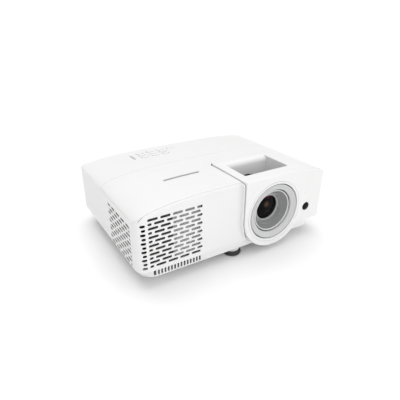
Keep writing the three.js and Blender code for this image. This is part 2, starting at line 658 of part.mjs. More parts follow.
add("infrared_window",
  rod("y", SENSOR.x, SENSOR.z, SENSOR.r, FRONT_Y - 0.4, FRONT_Y + 4, 24), blackPlastic);
for (const key of keyPlaces()) add(key.name, keyCap(key), white);
add("status_lights", statusLights(), greyPlastic);
add("keypad_board", box(-92, 0, 50, 92, 100.8, 102.4), board);

for (const foot of feet()) {
  add(`${foot.name}_pad`, footPad(foot), rubber);
  add(`${foot.name}_screw`, footScrew(foot), offWhite);
}

for (const p of PORTS) add(p.name, port(p), blackPlastic);
add("mains_inlet", mainsInlet(), blackPlastic);
add("connector_board", box(-20, 112, 86, REAR_Y - 7, BOARD_Z - 1.6, BOARD_Z), board);

add("intake_fan_frame", fanFrame(FAN.leftX), blackPlastic);
add("intake_fan_rotor", fanRotor(FAN.leftX), blackPlastic);
add("exhaust_fan_frame", fanFrame(FAN.rightX), blackPlastic);
add("exhaust_fan_rotor", fanRotor(FAN.rightX), blackPlastic);
add("lamp_housing", lampHousing(), aluminium);
add("lamp_reflector", lampReflector(), aluminium);
add("colour_wheel", colourWheel(), glass);
add("wheel_motor", rod("x", WHEEL.y, WHEEL.z, WHEEL.motorR, -33, -20.5, 24), steel);
add("optical_engine", opticalEngine(), aluminium);
add("heat_sink", heatSink(), aluminium);
add("power_board", powerBoard(), board);
add("main_board", mainBoard(), board);
add("speaker", rod("x", 78, 50, 16, 134, 148, 24), blackPlastic);
add("vent_baffle", box(-106, -64, FRONT_Y + 6, FRONT_Y + 7.5, 32, 104), offWhite);
add("dust_mesh", box(-141, -107, FRONT_Y + 3.2, FRONT_Y + 4.2, 32, 104), blackPlastic);

export default projector;
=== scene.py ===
import bmesh
import bpy
import math
import numpy as np
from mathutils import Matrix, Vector


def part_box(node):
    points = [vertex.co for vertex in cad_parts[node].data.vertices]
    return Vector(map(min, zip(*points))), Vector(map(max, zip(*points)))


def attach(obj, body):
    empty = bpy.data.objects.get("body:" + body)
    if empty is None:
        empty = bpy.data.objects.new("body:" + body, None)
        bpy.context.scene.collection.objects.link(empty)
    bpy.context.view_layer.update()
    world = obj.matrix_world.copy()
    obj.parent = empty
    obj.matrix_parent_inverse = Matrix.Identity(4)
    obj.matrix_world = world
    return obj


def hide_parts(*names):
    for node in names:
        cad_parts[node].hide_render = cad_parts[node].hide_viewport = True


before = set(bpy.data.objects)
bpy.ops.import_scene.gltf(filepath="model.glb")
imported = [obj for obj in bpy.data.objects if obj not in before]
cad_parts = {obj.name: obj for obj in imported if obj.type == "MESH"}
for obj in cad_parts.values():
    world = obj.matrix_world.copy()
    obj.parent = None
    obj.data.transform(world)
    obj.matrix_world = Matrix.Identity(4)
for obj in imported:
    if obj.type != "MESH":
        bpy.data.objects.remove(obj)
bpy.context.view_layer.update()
MM = 0.001


def low(node):
    """A CAD node's lowest corner, in millimetres."""
    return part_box(node)[0] / MM


def high(node):
    """A CAD node's highest corner, in millimetres."""
    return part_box(node)[1] / MM


def ends(node):
    """A CAD node's lowest and highest corners, in millimetres."""
    return low(node), high(node)


def middle(node):
    """A CAD node's centre, in millimetres."""
    a, b = ends(node)
    return (a.x + b.x) / 2, (a.y + b.y) / 2, (a.z + b.z) / 2


# ---- sizes, in millimetres ---------------------------------------------------------------------
# the casing: its outer planes, and the form of its top
HALF_W = high("upper_case").x
FRONT_Y = low("front_vent").y
REAR_Y = high("upper_case").y
SEAM_Z = low("upper_case").z
FLOOR_Z = low("lamp_door").z
SIDE_Z = 97.0
CROWN = 21.4
REAR_DROP = 9.5
CROWN_POWER = 3.5
SHOULDER_POWER = 0.56
CORNER_R = 13.0
EDGE_R = {"front": 4.5, "rear": 15.0, "side": 0.5}
BOTTOM_R = {"left": 2.0, "right": 7.0, "least": 0.3}
# mouldings: the wall, the wall at the vents, the gap round a fitted part, a seam's half width, and the
# radius of a corner that counts as sharp
WALL = 2.5
GRILLE = 1.0
CLEAR = 0.35
SEAM_W = 0.55
SHARP = 0.01
# the top panel lies between two lines across the casing
PANEL_Y0 = low("top_panel").y
PARTING_Y = high("top_panel").y
PANEL_Z = low("top_panel").z
# the lens hood: an arch from the front, with a pocket in its roof
HOOD_Y = low("lens_hood").y
HOOD_TOP_Z = high("lens_hood").z
HOOD_REAR_Y = high("lens_hood").y
HOOD_X = (low("lens_hood").x + high("lens_hood").x) / 2
HOOD_R = (high("lens_hood").x - low("lens_hood").x) / 2
HOOD_ROUND_Z = low("lens_hood").z + HOOD_R
HOOD_DEPTH = 9.0
HOOD_INSET = 0.9
HOOD_GAP = 0.6
HOOD_CORNER_R = 8.0
HOOD_EDGE_R = 1.8
POCKET = {"x0": 12.0, "x1": 89.0, "y0": -97.5, "y1": -49.5, "floor": 79.0}
# a height above every piece, for cutters
ABOVE = 140.0
# the lens
LENS_X = (low("focus_ring").x + high("focus_ring").x) / 2
LENS_Z = (low("focus_ring").z + high("focus_ring").z) / 2
LENS_BORE_R = 43.0
TRIM_INNER_R = 33.2
BARREL_R = 24.35
FOCUS_R = (high("focus_ring").x - low("focus_ring").x) / 2
GLASS_R = (high("front_lens").x - low("front_lens").x) / 2
GLASS_Y = HOOD_Y + 18.0
# the vents and the skirt under the casing
SLOT = {"long": 14.0, "high": 3.6, "pitch_x": 17.08, "pitch_z": 6.04}
CORNER_SLOT = {"long_x0": -151.6, "short_x0": -150.4, "x1": -145.0, "lower": 0.6}
FRONT_VENT = {"x0": -144.0, "x1": -63.0, "z0": 29.5, "z1": 105.5, "top_row": 101.0, "rows": 12}
SIDE_VENT = {"y0": -95.8, "y1": -12.0, "z0": 28.8, "z1": 89.5, "top_row": 86.2, "rows": 10}
SKIRT = {"left": 8.0, "right": 15.0, "end": 4.0}
SKIRT_SLOT = {"x0": -133.5, "pitch": 4.75, "count": 15, "half_width": 1.35}
REAR_PANEL = {"x0": -44.0, "x1": 122.0, "z0": 40.0, "z1": 84.0}
# fastenings and feet
SCREW = {"head_room": 3.4, "bore": 1.7, "sunk": 1.2}
BOSSES = ((-100, -45), (100, -45), (0, 85))
STEM_R = {"front_foot": 4.5, "rear_left_foot": 4.0, "rear_right_foot": 4.0}
KEYS = ["key_menu", "key_down", "key_info", "key_left", "key_enter", "key_right",
        "key_source", "key_up", "key_resync", "key_power"]


# ---- outlines ----------------------------------------------------------------------------------
def arc(cx, cy, r, start, end, steps):
    """Points of an arc, its angles in degrees."""
    turns = [math.radians(start + (end - start) * i / steps) for i in range(steps + 1)]
    return [(cx + r * math.cos(a), cy + r * math.sin(a)) for a in turns]


def rounded_rect(x0, x1, y0, y1, r, steps=8):
    """A rounded rectangle as a function of its inset; every inset gives as many points."""
    def outline(inset=0.0):
        c = max(r, inset + SHARP)
        corners = ((x1 - c, y1 - c, 0), (x0 + c, y1 - c, 90), (x0 + c, y0 + c, 180), (x1 - c, y0 + c, 270))
        return [p for cx, cy, a in corners for p in arc(cx, cy, c - inset, a, a + 90, steps)]
    return outline


def circle(cx, cy, r, steps=64):
    return lambda inset=0.0: arc(cx, cy, r - inset, 0, 360 * (1 - 1 / steps), steps - 1)


def arch(grow, top, top_r=3.0, steps=48):
    """The hood's outline from the front: straight sides over a round lower end."""
    def outline(inset=0.0):
        r = HOOD_R + grow - inset
        z1 = top + grow - inset
        c = max(top_r - inset, SHARP)
        return (arc(HOOD_X, HOOD_ROUND_Z, r, 180, 360, steps)
                + arc(HOOD_X + r - c, z1 - c, c, 0, 90, 6)
                + arc(HOOD_X - r + c, z1 - c, c, 90, 180, 6))
    return outline


# ---- solids ------------------------------------------------------------------------------------
def mesh_object(name, points, faces):
    """A mesh object from points in millimetres, with its faces turned outwards."""
    mesh = bpy.data.meshes.new(name)
    mesh.from_pydata([Vector(p) * MM for p in points], [], faces)
    work = bmesh.new()
    work.from_mesh(mesh)
    bmesh.ops.remove_doubles(work, verts=work.verts, dist=1e-7)
    bmesh.ops.recalc_face_normals(work, faces=work.faces)
    work.to_mesh(mesh)
    work.free()
    obj = bpy.data.objects.new(name, mesh)
    bpy.context.scene.collection.objects.link(obj)
    return obj


def loft_data(sections, closed=False):
    """Points and faces of a body through outlines of equal length, capped unless it closes on itself."""
    n = len(sections[0])
    points = [p for section in sections for p in section]
    faces = []
    last = len(sections) if closed else len(sections) - 1
    for k in range(last):
        a, b = k * n, ((k + 1) % len(sections)) * n
        faces += [(a + i, a + (i + 1) % n, b + (i + 1) % n, b + i) for i in range(n)]
    if not closed:
        faces += [tuple(range(n))[::-1], tuple(range(len(points) - n, len(points)))]
    return points, faces


def loft(name, sections, closed=False):
    return mesh_object(name, *loft_data(sections, closed))


PLACE = {
    "x": lambda a, b, t: (t, a, b),
    "y": lambda a, b, t: (a, t, b),
    "z": lambda a, b, t: (a, b, t),
}


def bar_sections(axis, outline, stations):
    """Sections of a straight body: stations are (position along the axis, inset) pairs."""
    return [[PLACE[axis](a, b, t) for a, b in outline(inset)] for t, inset in stations]


def fillet(at, r, way, steps=5):
    """Stations of a rounded end at a position: way is 1 at the body's start and -1 at its end."""
    turns = [math.pi / 2 * k / steps for k in range(steps + 1)]
    stations = [(at + way * r * (1 - math.cos(a)), r * (1 - math.sin(a))) for a in turns]
    return stations if way > 0 else stations[::-1]


def prism(name, axis, outline, stations):
    """A straight body through stations along an axis."""
    return loft(name, bar_sections(axis, outline, stations))


def bar(name, axis, outline, start, end, r0=0.0, r1=0.0):
    """A straight body along an axis, its ends rounded by r0 and r1."""
    first = fillet(start, r0, 1) if r0 else [(start, 0.0)]
    final = fillet(end, r1, -1) if r1 else [(end, 0.0)]
    return prism(name, axis, outline, first + final)


def box(name, x0, x1, y0, y1, z0, z1):
    return bar(name, "z", rounded_rect(x0, x1, y0, y1, SHARP, 1), z0, z1)


def turned(name, profile, centre=(LENS_X, LENS_Z), axis="y", segments=128):
    """A ring turned about an axis: its profile is a closed loop of (radius, position) pairs."""
    sections = []
    for i in range(segments):
        a = 2 * math.pi * i / segments
        ring = [(centre[0] + r * math.cos(a), centre[1] + r * math.sin(a), t) for r, t in profile]
        sections.append([PLACE[axis](u, v, t) for u, v, t in ring])
    return loft(name, sections, closed=True)


def bar_data(axis, outline, stations):
    """Points and faces of a straight body through stations, to join with others."""
    return loft_data(bar_sections(axis, outline, stations))


def joined(name, parts):
    """Several (points, faces) bodies in one mesh object."""
    points, faces = [], []
    for some_points, some_faces in parts:
        faces += [tuple(i + len(points) for i in face) for face in some_faces]
        points += some_points
    return mesh_object(name, points, faces)


def cut(obj, cutter, operation="DIFFERENCE", keep=False):
    """A boolean on obj. The cutter goes unless it is kept."""
    modifier = obj.modifiers.new("cut", "BOOLEAN")
    modifier.operation = operation
    modifier.object = cutter
    modifier.solver = "MANIFOLD"
    bpy.context.view_layer.update()
    evaluated = obj.evaluated_get(bpy.context.evaluated_depsgraph_get())
    mesh = bpy.data.meshes.new_from_object(evaluated)
    obj.modifiers.clear()
    obj.data = mesh
    if not keep:
        bpy.data.objects.remove(cutter)
    return obj


def chamfered_hole(obj, outline, surface, way, chamfer, end):
    """A hole in from a surface along y, to a depth, with a small chamfer; way points into the wall."""
    stations = [(surface - way, -chamfer), (surface, -chamfer), (surface + way * chamfer, 0.0), (end, 0.0)]
    return cut(obj, prism("hole", "y", outline, stations))


def copy_of(obj, name):
    other = obj.copy()
    other.data = obj.data.copy()
    other.name = name
    bpy.context.scene.collection.objects.link(other)
    return other


def smooth(obj, angle=32.0):
    mesh = obj.data
    mesh.polygons.foreach_set("use_smooth", [True] * len(mesh.polygons))
    mesh.set_sharp_from_angle(angle=math.radians(angle))
    return obj


# ---- the casing's form -------------------------------------------------------------------------
def drop(y):
    return REAR_DROP * ((y - FRONT_Y) / (REAR_Y - FRONT_Y)) ** 2


def plan(x, y, t=0.0):
    """Distance inside the casing's plan outline, and the outline's outward normal there."""
    r = max(CORNER_R - t, 2.0)
    mid = (FRONT_Y + REAR_Y) / 2
    qx = np.abs(x) - (HALF_W - t - r)
    qy = np.abs(y - mid) - ((REAR_Y - FRONT_Y) / 2 - t - r)
    outside = np.hypot(np.maximum(qx, 0), np.maximum(qy, 0))
    inside = np.minimum(np.maximum(qx, qy), 0)
    corner = (qx > 0) & (qy > 0)
    nx = np.where(corner, qx / np.maximum(outside, 1e-9), (qx >= qy) * 1.0)
    ny = np.where(corner, qy / np.maximum(outside, 1e-9), (qx < qy) * 1.0)
    return r - outside - inside, nx * np.sign(x), ny * np.sign(y - mid)


def top_form(x, y, t=0.0):
    """Height and normal of the casing's crowned top, its edges rounded down to the walls."""
    x, y = np.asarray(x, float), np.asarray(y, float)
    half, rise = HALF_W - t, CROWN - t - drop(y)
    across = np.clip(np.abs(x) / half, 0, 1 - 1e-7)
    left = 1 - across ** CROWN_POWER
    share = left ** SHOULDER_POWER
    slope_x = -rise * SHOULDER_POWER * share / left * CROWN_POWER * across ** (CROWN_POWER - 1) / half
    slope_y = -2 * REAR_DROP * (y - FRONT_Y) / (REAR_Y - FRONT_Y) ** 2 * share
    d, nx, ny = plan(x, y, t)
    end_r = np.where(y < 0, EDGE_R["front"], EDGE_R["rear"])
    r = np.maximum(EDGE_R["side"] * nx ** 2 + end_r * ny ** 2 - t, 0.5)
    gap = np.clip(r - d, 0, r)
    fall = r - np.sqrt(np.maximum(r ** 2 - gap ** 2, 0))
    steep = gap / np.sqrt(np.maximum(r ** 2 - gap ** 2, 1e-9))
    normal = np.stack([-slope_x * np.sign(x) + steep * nx, -slope_y + steep * ny, np.ones_like(x)], -1)
    normal /= np.linalg.norm(normal, axis=-1, keepdims=True)
    return SIDE_Z + rise * share - fall, normal


def top_z(x, y):
    return float(top_form(x, y)[0])


def grid_lines(start, end):
    """Positions from start to end, close together near both ends."""
    near = [0, 0.08, 0.3, 0.7, 1.2, 1.9, 2.8, 3.9, 5.2, 6.8, 8.6, 10.6, 12.8, 15.2,
            18, 22, 27, 33, 40, 48, 57, 67, 78, 90]
    widest = 12
    half = (end - start) / 2
    near = [d for d in near if d < half - 8]
    count = max(2, round((half - near[-1]) / widest))
    near += [near[-1] + (half - near[-1]) * (i + 1) / count for i in range(count)]
    return [start + d for d in near] + [end - d for d in near[-2::-1]]


def casing_solid(name, t, z0, rounded=False):
    """The whole casing as one solid, inset by t, from z0 up; its bottom edge may be rounded under."""
    r = max(CORNER_R - t, 2.0)
    y_mid, y_half, x_half = (FRONT_Y + REAR_Y) / 2, (REAR_Y - FRONT_Y) / 2 - t, HALF_W - t
    xs, ys = grid_lines(-x_half, x_half), grid_lines(y_mid - y_half, y_mid + y_half)
    gx, gy = np.meshgrid(xs, ys, indexing="ij")
    # squares at the corners turn into quarter discs
    a = np.maximum(np.abs(gx) - (x_half - r), 0)
    b = np.maximum(np.abs(gy - y_mid) - (y_half - r), 0)
    both = (a > 0) & (b > 0)
    ma = np.where(both, a * np.sqrt(1 - b ** 2 / (2 * r * r)), a)
    mb = np.where(both, b * np.sqrt(1 - a ** 2 / (2 * r * r)), b)
    px = gx + np.sign(gx) * (ma - a)
    py = gy + np.sign(gy - y_mid) * (mb - b)
    pz = top_form(px, py, t)[0]
    nx, ny = px.shape
    points = np.stack([px, py, pz], -1).reshape(-1, 3).tolist()
    faces = [(i * ny + j, (i + 1) * ny + j, (i + 1) * ny + j + 1, i * ny + j + 1)
             for i in range(nx - 1) for j in range(ny - 1)]
    rim = ([i * ny for i in range(nx)] + [(nx - 1) * ny + j for j in range(1, ny)]
           + [i * ny + ny - 1 for i in range(nx - 2, -1, -1)] + [j for j in range(ny - 2, 0, -1)])
    edge = np.array([points[k] for k in rim])
    _, out_x, out_y = plan(edge[:, 0], edge[:, 1], t)
    under = np.where(edge[:, 0] > 0, BOTTOM_R["right"], BOTTOM_R["left"]) * out_x ** 2
    under = np.maximum(under, BOTTOM_R["least"]) if rounded else under * 0
    n = len(rim)
    above = rim
    steps = 5 if rounded else 1
    for k in range(1, steps + 1):
        turn = math.pi / 2 * (k - 1) / (steps - 1) if rounded else 0.0
        inset = under * (1 - math.cos(turn))
        base = len(points)
        points += np.stack([edge[:, 0] - out_x * inset, edge[:, 1] - out_y * inset,
                            z0 + under * (1 - math.sin(turn))], -1).tolist()
        below = [base + j for j in range(n)]
        faces += [(above[j], below[j], below[(j + 1) % n], above[(j + 1) % n]) for j in range(n)]
        above = below
    faces.append(tuple(above))
    return mesh_object(name, points, faces)


def casing_normals(obj):
    """Gives what lies on the casing's form the form's own normals, so that cuts don't dent the shading."""
    top_slack, wall_slack, rim_slack = 0.06, 0.03, 0.05
    least_facing = 0.55
    mesh = smooth(obj).data
    count = len(mesh.vertices)
    co = np.zeros(count * 3)
    mesh.vertices.foreach_get("co", co)
    co = co.reshape(-1, 3) / MM
    z, normal = top_form(co[:, 0], co[:, 1])
    d, nx, ny = plan(co[:, 0], co[:, 1])
    on_top = (np.abs(co[:, 2] - z) < top_slack) & (d > -rim_slack)
    on_wall = (np.abs(d) < wall_slack) & (co[:, 2] < z + rim_slack)
    normal[on_wall] = np.stack([nx, ny, np.zeros(count)], -1)[on_wall]
    on_form = on_top | on_wall
    split = np.zeros(len(mesh.loops) * 3)
    mesh.corner_normals.foreach_get("vector", split)
    split = split.reshape(-1, 3)
    for face in mesh.polygons:
        ids = list(face.vertices)
        if not on_form[ids].all():
            continue
        own = normal[ids]
        if (own @ np.array(face.normal)).min() > least_facing:
            split[face.loop_start:face.loop_start + face.loop_total] = own
    mesh.normals_split_custom_set([Vector(v).normalized() for v in split])
    return obj


def groove(name, path, half_width):
    """A four-sided bar along a path on the casing's surface, to cut a V-shaped seam with."""
    sections = []
    path = [np.array(p, float) for p in path]
    for i, p in enumerate(path):
        along = path[min(i + 1, len(path) - 1)] - path[max(i - 1, 0)]
        along /= np.linalg.norm(along)
        d, nx, ny = plan(p[0], p[1])
        up = top_form(p[0], p[1])[1] if p[2] > PANEL_Z + 0.6 and d > 0.3 else np.array([nx, ny, 0.0])
        side = np.cross(along, up)
        side /= np.linalg.norm(side)
        up = np.cross(side, along)
        w, deep = half_width, half_width * 2.4
        sections.append([tuple(p + o) for o in (side * w, up * w, -side * w, -up * deep)])
    return loft(name, sections)


# ---- vents -------------------------------------------------------------------------------------
def row_slots(row, start, end):
    """Slots of one row: rows start with a long and with a short slot in turn."""
    shortest = 2
    left = start - (SLOT["pitch_x"] / 2 if row % 2 else 0)
    slots = []
    while left < end:
        a, b = max(start, left), min(end, left + SLOT["long"])
        if b - a > shortest:
            slots.append((a, b))
        left += SLOT["pitch_x"]
    return slots


def slot_cutter(axis, surface, way, a, b, z0, z1, deep=6.0, flare=0.15):
    """A slot with round ends and a small chamfer at the surface; way points into the wall."""
    r = min((z1 - z0) / 2, (b - a) / 2) - 0.02
    outline = rounded_rect(a, b, z0, z1, r, 4)
    stations = [(surface - way, -flare), (surface, -flare), (surface + way * flare, 0.0),
                (surface + way * deep, 0.0)]
    return bar_data(axis, outline, stations)


def vent_cutter(name, vent, start, end, axis, surface, way):
    parts = []
    for row in range(vent["rows"]):
        z = vent["top_row"] - row * SLOT["pitch_z"]
        for a, b in row_slots(row, start, end):
            parts.append(slot_cutter(axis, surface, way, a, b, z - SLOT["high"] / 2, z + SLOT["high"] / 2))
    return joined(name, parts)


def corner_cutter():
    """Short slots round the front left corner, one to a row."""
    s = CORNER_SLOT
    half = SLOT["high"] / 2 + 0.1
    parts = []
    for row in range(1, FRONT_VENT["rows"]):
        z = FRONT_VENT["top_row"] - row * SLOT["pitch_z"] - s["lower"]
        x0 = s["long_x0"] if row % 2 else s["short_x0"]
        parts.append(slot_cutter("y", FRONT_Y, 1, x0, s["x1"], z - half, z + half, 9.0))
    return joined("corner_cut", parts)


# ---- materials ---------------------------------------------------------------------------------
def principled(name, colour, roughness, **settings):
    material = bpy.data.materials.new(name)
    material.use_nodes = True
    shader_input(material, "Base Color").default_value = (*colour, 1.0)
    shader_input(material, "Roughness").default_value = roughness
    for key, value in settings.items():
        shader_input(material, key.replace("_", " ")).default_value = value
    return material


def link(material, source, target):
    material.node_tree.links.new(source, target)


def shader_input(material, key):
    return material.node_tree.nodes["Principled BSDF"].inputs[key]


def node(material, kind, **values):
    made = material.node_tree.nodes.new(kind)
    for key, value in values.items():
        if hasattr(made, key):
            setattr(made, key, value)
        else:
            made.inputs[key.replace("_", " ")].default_value = value
    return made


def noise(material, scale, detail):
    """A noise texture in the object's own coordinates, in metres."""
    coordinates = node(material, "ShaderNodeTexCoord")
    texture = node(material, "ShaderNodeTexNoise", Scale=scale, Detail=detail)
    link(material, coordinates.outputs["Object"], texture.inputs["Vector"])
    return texture.outputs["Fac"]


def spread(material, source, to_low, to_high):
    """Maps a 0 to 1 value to a range."""
    made = node(material, "ShaderNodeMapRange")
    made.inputs["To Min"].default_value = to_low
    made.inputs["To Max"].default_value = to_high
    link(material, source, made.inputs["Value"])
    return made.outputs["Result"]


def blend_colour(material, source, first, second):
    made = node(material, "ShaderNodeMix", data_type="RGBA")
    made.inputs[6].default_value = (*first, 1.0)
    made.inputs[7].default_value = (*second, 1.0)
    link(material, source, made.inputs[0])
    return made.outputs[2]


def grain(material, source, distance):
    """Fine relief from a noise, in metres."""
    made = node(material, "ShaderNodeBump", Strength=1.0, Distance=distance)
    link(material, source, made.inputs["Height"])
    link(material, made.outputs["Normal"], shader_input(material, "Normal"))


def plastic(name, colour, roughness, tone=0.015, grain_scale=2600.0, grain_depth=0.000012):
    """Moulded plastic: a fine spark-eroded grain, with colour and gloss that vary a little."""
    material = principled(name, colour, roughness)
    mottle = noise(material, 9.0, 3.0)
    darker = tuple(max(0.0, c - tone) for c in colour)
    lighter = tuple(min(1.0, c + tone) for c in colour)
    link(material, blend_colour(material, mottle, darker, lighter), shader_input(material, "Base Color"))
    sheen = spread(material, noise(material, 60.0, 4.0), roughness - 0.05, roughness + 0.05)
    link(material, sheen, shader_input(material, "Roughness"))
    grain(material, noise(material, grain_scale, 2.0), grain_depth)
    return material


def metal(name, colour, roughness, scale=900.0):
    """Metal with fine relief, and colour and gloss that vary a little."""
    material = principled(name, colour, roughness, Metallic=1.0)
    relief = noise(material, scale, 3.0)
    sheen = spread(material, relief, roughness - 0.08, roughness + 0.12)
    link(material, sheen, shader_input(material, "Roughness"))
    darker = tuple(c * 0.86 for c in colour)
    tint = blend_colour(material, noise(material, 40.0, 4.0), darker, colour)
    link(material, tint, shader_input(material, "Base Color"))
    grain(material, relief, 0.00001)
    return material


def near(material, centre, inner, outer):
    """1 within a distance of a point, in millimetres, falling to 0 further out."""
    coordinates = node(material, "ShaderNodeTexCoord")
    measure = node(material, "ShaderNodeVectorMath", operation="DISTANCE")
    measure.inputs[1].default_value = Vector(centre) * MM
    link(material, coordinates.outputs["Object"], measure.inputs[0])
    fade = node(material, "ShaderNodeMapRange", interpolation_type="SMOOTHSTEP")
    limits = {"From Min": inner * MM, "From Max": outer * MM, "To Min": 1.0, "To Max": 0.0}
    for key, value in limits.items():
        fade.inputs[key].default_value = value
    link(material, measure.outputs["Value"], fade.inputs["Value"])
    return fade.outputs["Result"]


def glass_with_painted_reflections():
    """Nearly black coated glass, with a painted warm reflection in it and a painted violet reflection at
    its upper rim: both are colour fixed on the glass, standing in for reflections.
    """
    material = principled("coated_lens_glass_with_painted_reflections", (0.003, 0.003, 0.003), 0.03, Specular_IOR_Level=0.05)
    black, painted_warm_reflection, painted_violet_reflection = (0.0035, 0.003, 0.0035), (0.075, 0.046, 0.032), (0.090, 0.008, 0.030)
    # painted reflection: a warm patch of colour fixed on the glass, standing in for light reflected from
    # the elements inside the lens
    warm_reflection_mask = near(material, (LENS_X - 2.3, GLASS_Y - 2, LENS_Z + 6), 0.5, 6.5)
    inside = blend_colour(material, warm_reflection_mask, black, painted_warm_reflection)
    # painted reflection: a violet patch fixed at the glass's upper rim, standing in for the coating's
    # reflection
    top = near(material, (LENS_X + 1, GLASS_Y, LENS_Z + GLASS_R), 1.0, 6.5)
    tint = node(material, "ShaderNodeMix", data_type="RGBA")
    tint.inputs[7].default_value = (*painted_violet_reflection, 1.0)
    link(material, top, tint.inputs[0])
    link(material, inside, tint.inputs[6])
    link(material, tint.outputs[2], shader_input(material, "Base Color"))
    return material


WHITE = plastic("white_plastic", (0.80, 0.80, 0.798), 0.42)
OFF_WHITE = plastic("off_white_plastic", (0.72, 0.72, 0.715), 0.45)
TRIM = plastic("trim_grey_plastic", (0.55, 0.552, 0.555), 0.38, grain_depth=0.000006)
BAFFLE = plastic("baffle_grey_plastic", (0.52, 0.522, 0.525), 0.5)
FUNNEL = plastic("funnel_grey_plastic", (0.20, 0.202, 0.205), 0.30, grain_depth=0.000006)
# the stepped ring's grey is lighter than the funnel's: partly its own grey, partly a painted highlight
# standing in for the light its steps catch
STAIRS_GREY_WITH_PAINTED_HIGHLIGHT = plastic("stepped_ring_grey_with_painted_highlight", (0.36, 0.362, 0.365), 0.28, grain_depth=0.000006)
MARK = plastic("mark_grey", (0.33, 0.34, 0.35), 0.35)
LIGHTS = plastic("status_window_grey", (0.50, 0.505, 0.51), 0.3)
BLACK = plastic("black_plastic", (0.018, 0.019, 0.021), 0.48, tone=0.004)
DARK = plastic("dark_grey_plastic", (0.055, 0.056, 0.058), 0.5, tone=0.006)
RUBBER = plastic("foot_rubber_dark", (0.035, 0.036, 0.038), 0.8, tone=0.008, grain_scale=1400.0,
                 grain_depth=0.00003)
STEEL = metal("zinc_steel", (0.62, 0.62, 0.61), 0.32)
ALUMINIUM = metal("cast_aluminium", (0.68, 0.69, 0.70), 0.42, scale=500.0)
GOLD = metal("contact_gold", (0.83, 0.62, 0.28), 0.25)
WINDOW = principled("infrared_filter", (0.007, 0.005, 0.006), 0.08, Specular_IOR_Level=0.08)
BOARD = plastic("circuit_board_green", (0.03, 0.14, 0.07), 0.35, tone=0.012, grain_scale=700.0)
GLASS = glass_with_painted_reflections()


SLOTS = {
    "white_shell": [WHITE], "off_white": [OFF_WHITE], "grey_plastic": [TRIM, FUNNEL, STAIRS_GREY_WITH_PAINTED_HIGHLIGHT, MARK, LIGHTS],
    "black_plastic": [BLACK, DARK, WINDOW], "foot_rubber": [RUBBER], "steel": [STEEL, GOLD],
    "lens_glass": [GLASS],
}
SLOT_OF = {material: slot for slot, materials in SLOTS.items() for material in materials}


def finish(obj, body, material, *replaced, angle=32.0, shaded=False):
    """Puts a piece on its body, gives it its material, and hides the CAD nodes it stands for."""
    if not shaded:
        smooth(obj, angle)
    obj.data.materials.clear()
    obj.data.materials.append(material)
    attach(obj, body)
    if replaced:
        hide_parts(*replaced)
    return obj


# ---- casing ------------------------------------------------------------------------------------
def hood_front_room():
    """A cutter for the room that the hood's front takes out of the casing."""
    return bar("hood_front_room", "y", arch(HOOD_GAP, ABOVE), HOOD_Y - 5, HOOD_Y + HOOD_DEPTH + 1)


def hood_roof_room():
    """A cutter for the room that the hood's roof takes out of the casing."""
    plan_view = rounded_rect(HOOD_X - HOOD_R - HOOD_GAP, HOOD_X + HOOD_R + HOOD_GAP,
                             HOOD_Y - 30, HOOD_REAR_Y + HOOD_GAP, HOOD_CORNER_R + HOOD_GAP, 10)
    return bar("hood_roof_room", "z", plan_view, SIDE_Z - 2, ABOVE)


def collar():
    """The lip round the hood: it swells out of the front face and fades out towards its lower end."""
    proud = HOOD_Y + 1 - FRONT_Y
    swell = [(1.0, 5.2), (0.0, 5.2), (0.08 * proud, 3.9), (0.25 * proud, 2.9), (0.55 * proud, 2.3),
             (0.85 * proud, 2.0), (0.96 * proud, 1.6), (proud, 1.0)]
    stations = [(FRONT_Y + dy, -grow) for dy, grow in swell]
    lip = prism("collar", "y", arch(0.0, ABOVE), stations)
    top = SIDE_Z + CROWN - 0.8
    side_view = [(FRONT_Y + 4, SEAM_Z), (FRONT_Y - 0.3, SEAM_Z), (FRONT_Y + proud, SEAM_Z + 20),
                 (FRONT_Y + proud, top - 4.0), (FRONT_Y + 0.85 * proud, top - 2.0),
                 (FRONT_Y + 0.6 * proud, top - 0.8), (FRONT_Y + 0.3 * proud, top - 0.2),
                 (FRONT_Y + 1, top), (FRONT_Y + 4, top)]
    x0, x1 = HOOD_X - HOOD_R - 12, HOOD_X + HOOD_R + 12
    # it stands lower on the right, where the hood's edge hides the gap
    cut(lip, box("low_side", HOOD_X + 10, x1, HOOD_Y - 1, FRONT_Y + 0.5 * proud, SEAM_Z - 20, ABOVE + 10))
    room = loft("collar_room", [[(x, y, z) for y, z in side_view] for x in (x0, x1)])
    return cut(lip, room, "INTERSECT")


def thin_rooms():
    """Cutters that thin the wall from behind where the vents are."""
    v, s = FRONT_VENT, SIDE_VENT
    outside, inside = HALF_W + 1, HALF_W - WALL - 1
    spans = [(-outside, v["x1"], FRONT_Y - 1, s["y0"], v["z0"], v["z1"]),
             (-outside, -inside, s["y0"] - 1, s["y1"], s["z0"], s["z1"]),
             (inside, outside, s["y0"], s["y1"], s["z0"], s["z1"])]
    return [cut(casing_solid("thin", GRILLE, SEAM_Z - 1), box("span", *span), "INTERSECT")
            for span in spans]


def seam_paths():
    """The top panel's edges on the casing: across the front and the rear, and along both sides."""
    paths = []
    for y in (PANEL_Y0, PARTING_Y):
        inner = [-HALF_W * math.cos(math.pi * i / 90) for i in range(1, 90)]
        top = [(x, y, top_z(x, y)) for x in inner if top_z(x, y) > PANEL_Z + 0.3]
        paths.append([(-HALF_W, y, PANEL_Z), *top, (HALF_W, y, PANEL_Z)])
    for side in (-1, 1):
        paths.append([(side * HALF_W, PANEL_Y0 - 0.4, PANEL_Z), (side * HALF_W, PARTING_Y + 0.4, PANEL_Z)])
    return paths


def key_outline(name, grow=0.0):
    """A key's outline from above, larger by grow."""
    a, b = ends(name)
    return rounded_rect(a.x - grow, b.x + grow, a.y - grow, b.y + grow, 2.5 + grow, 5)


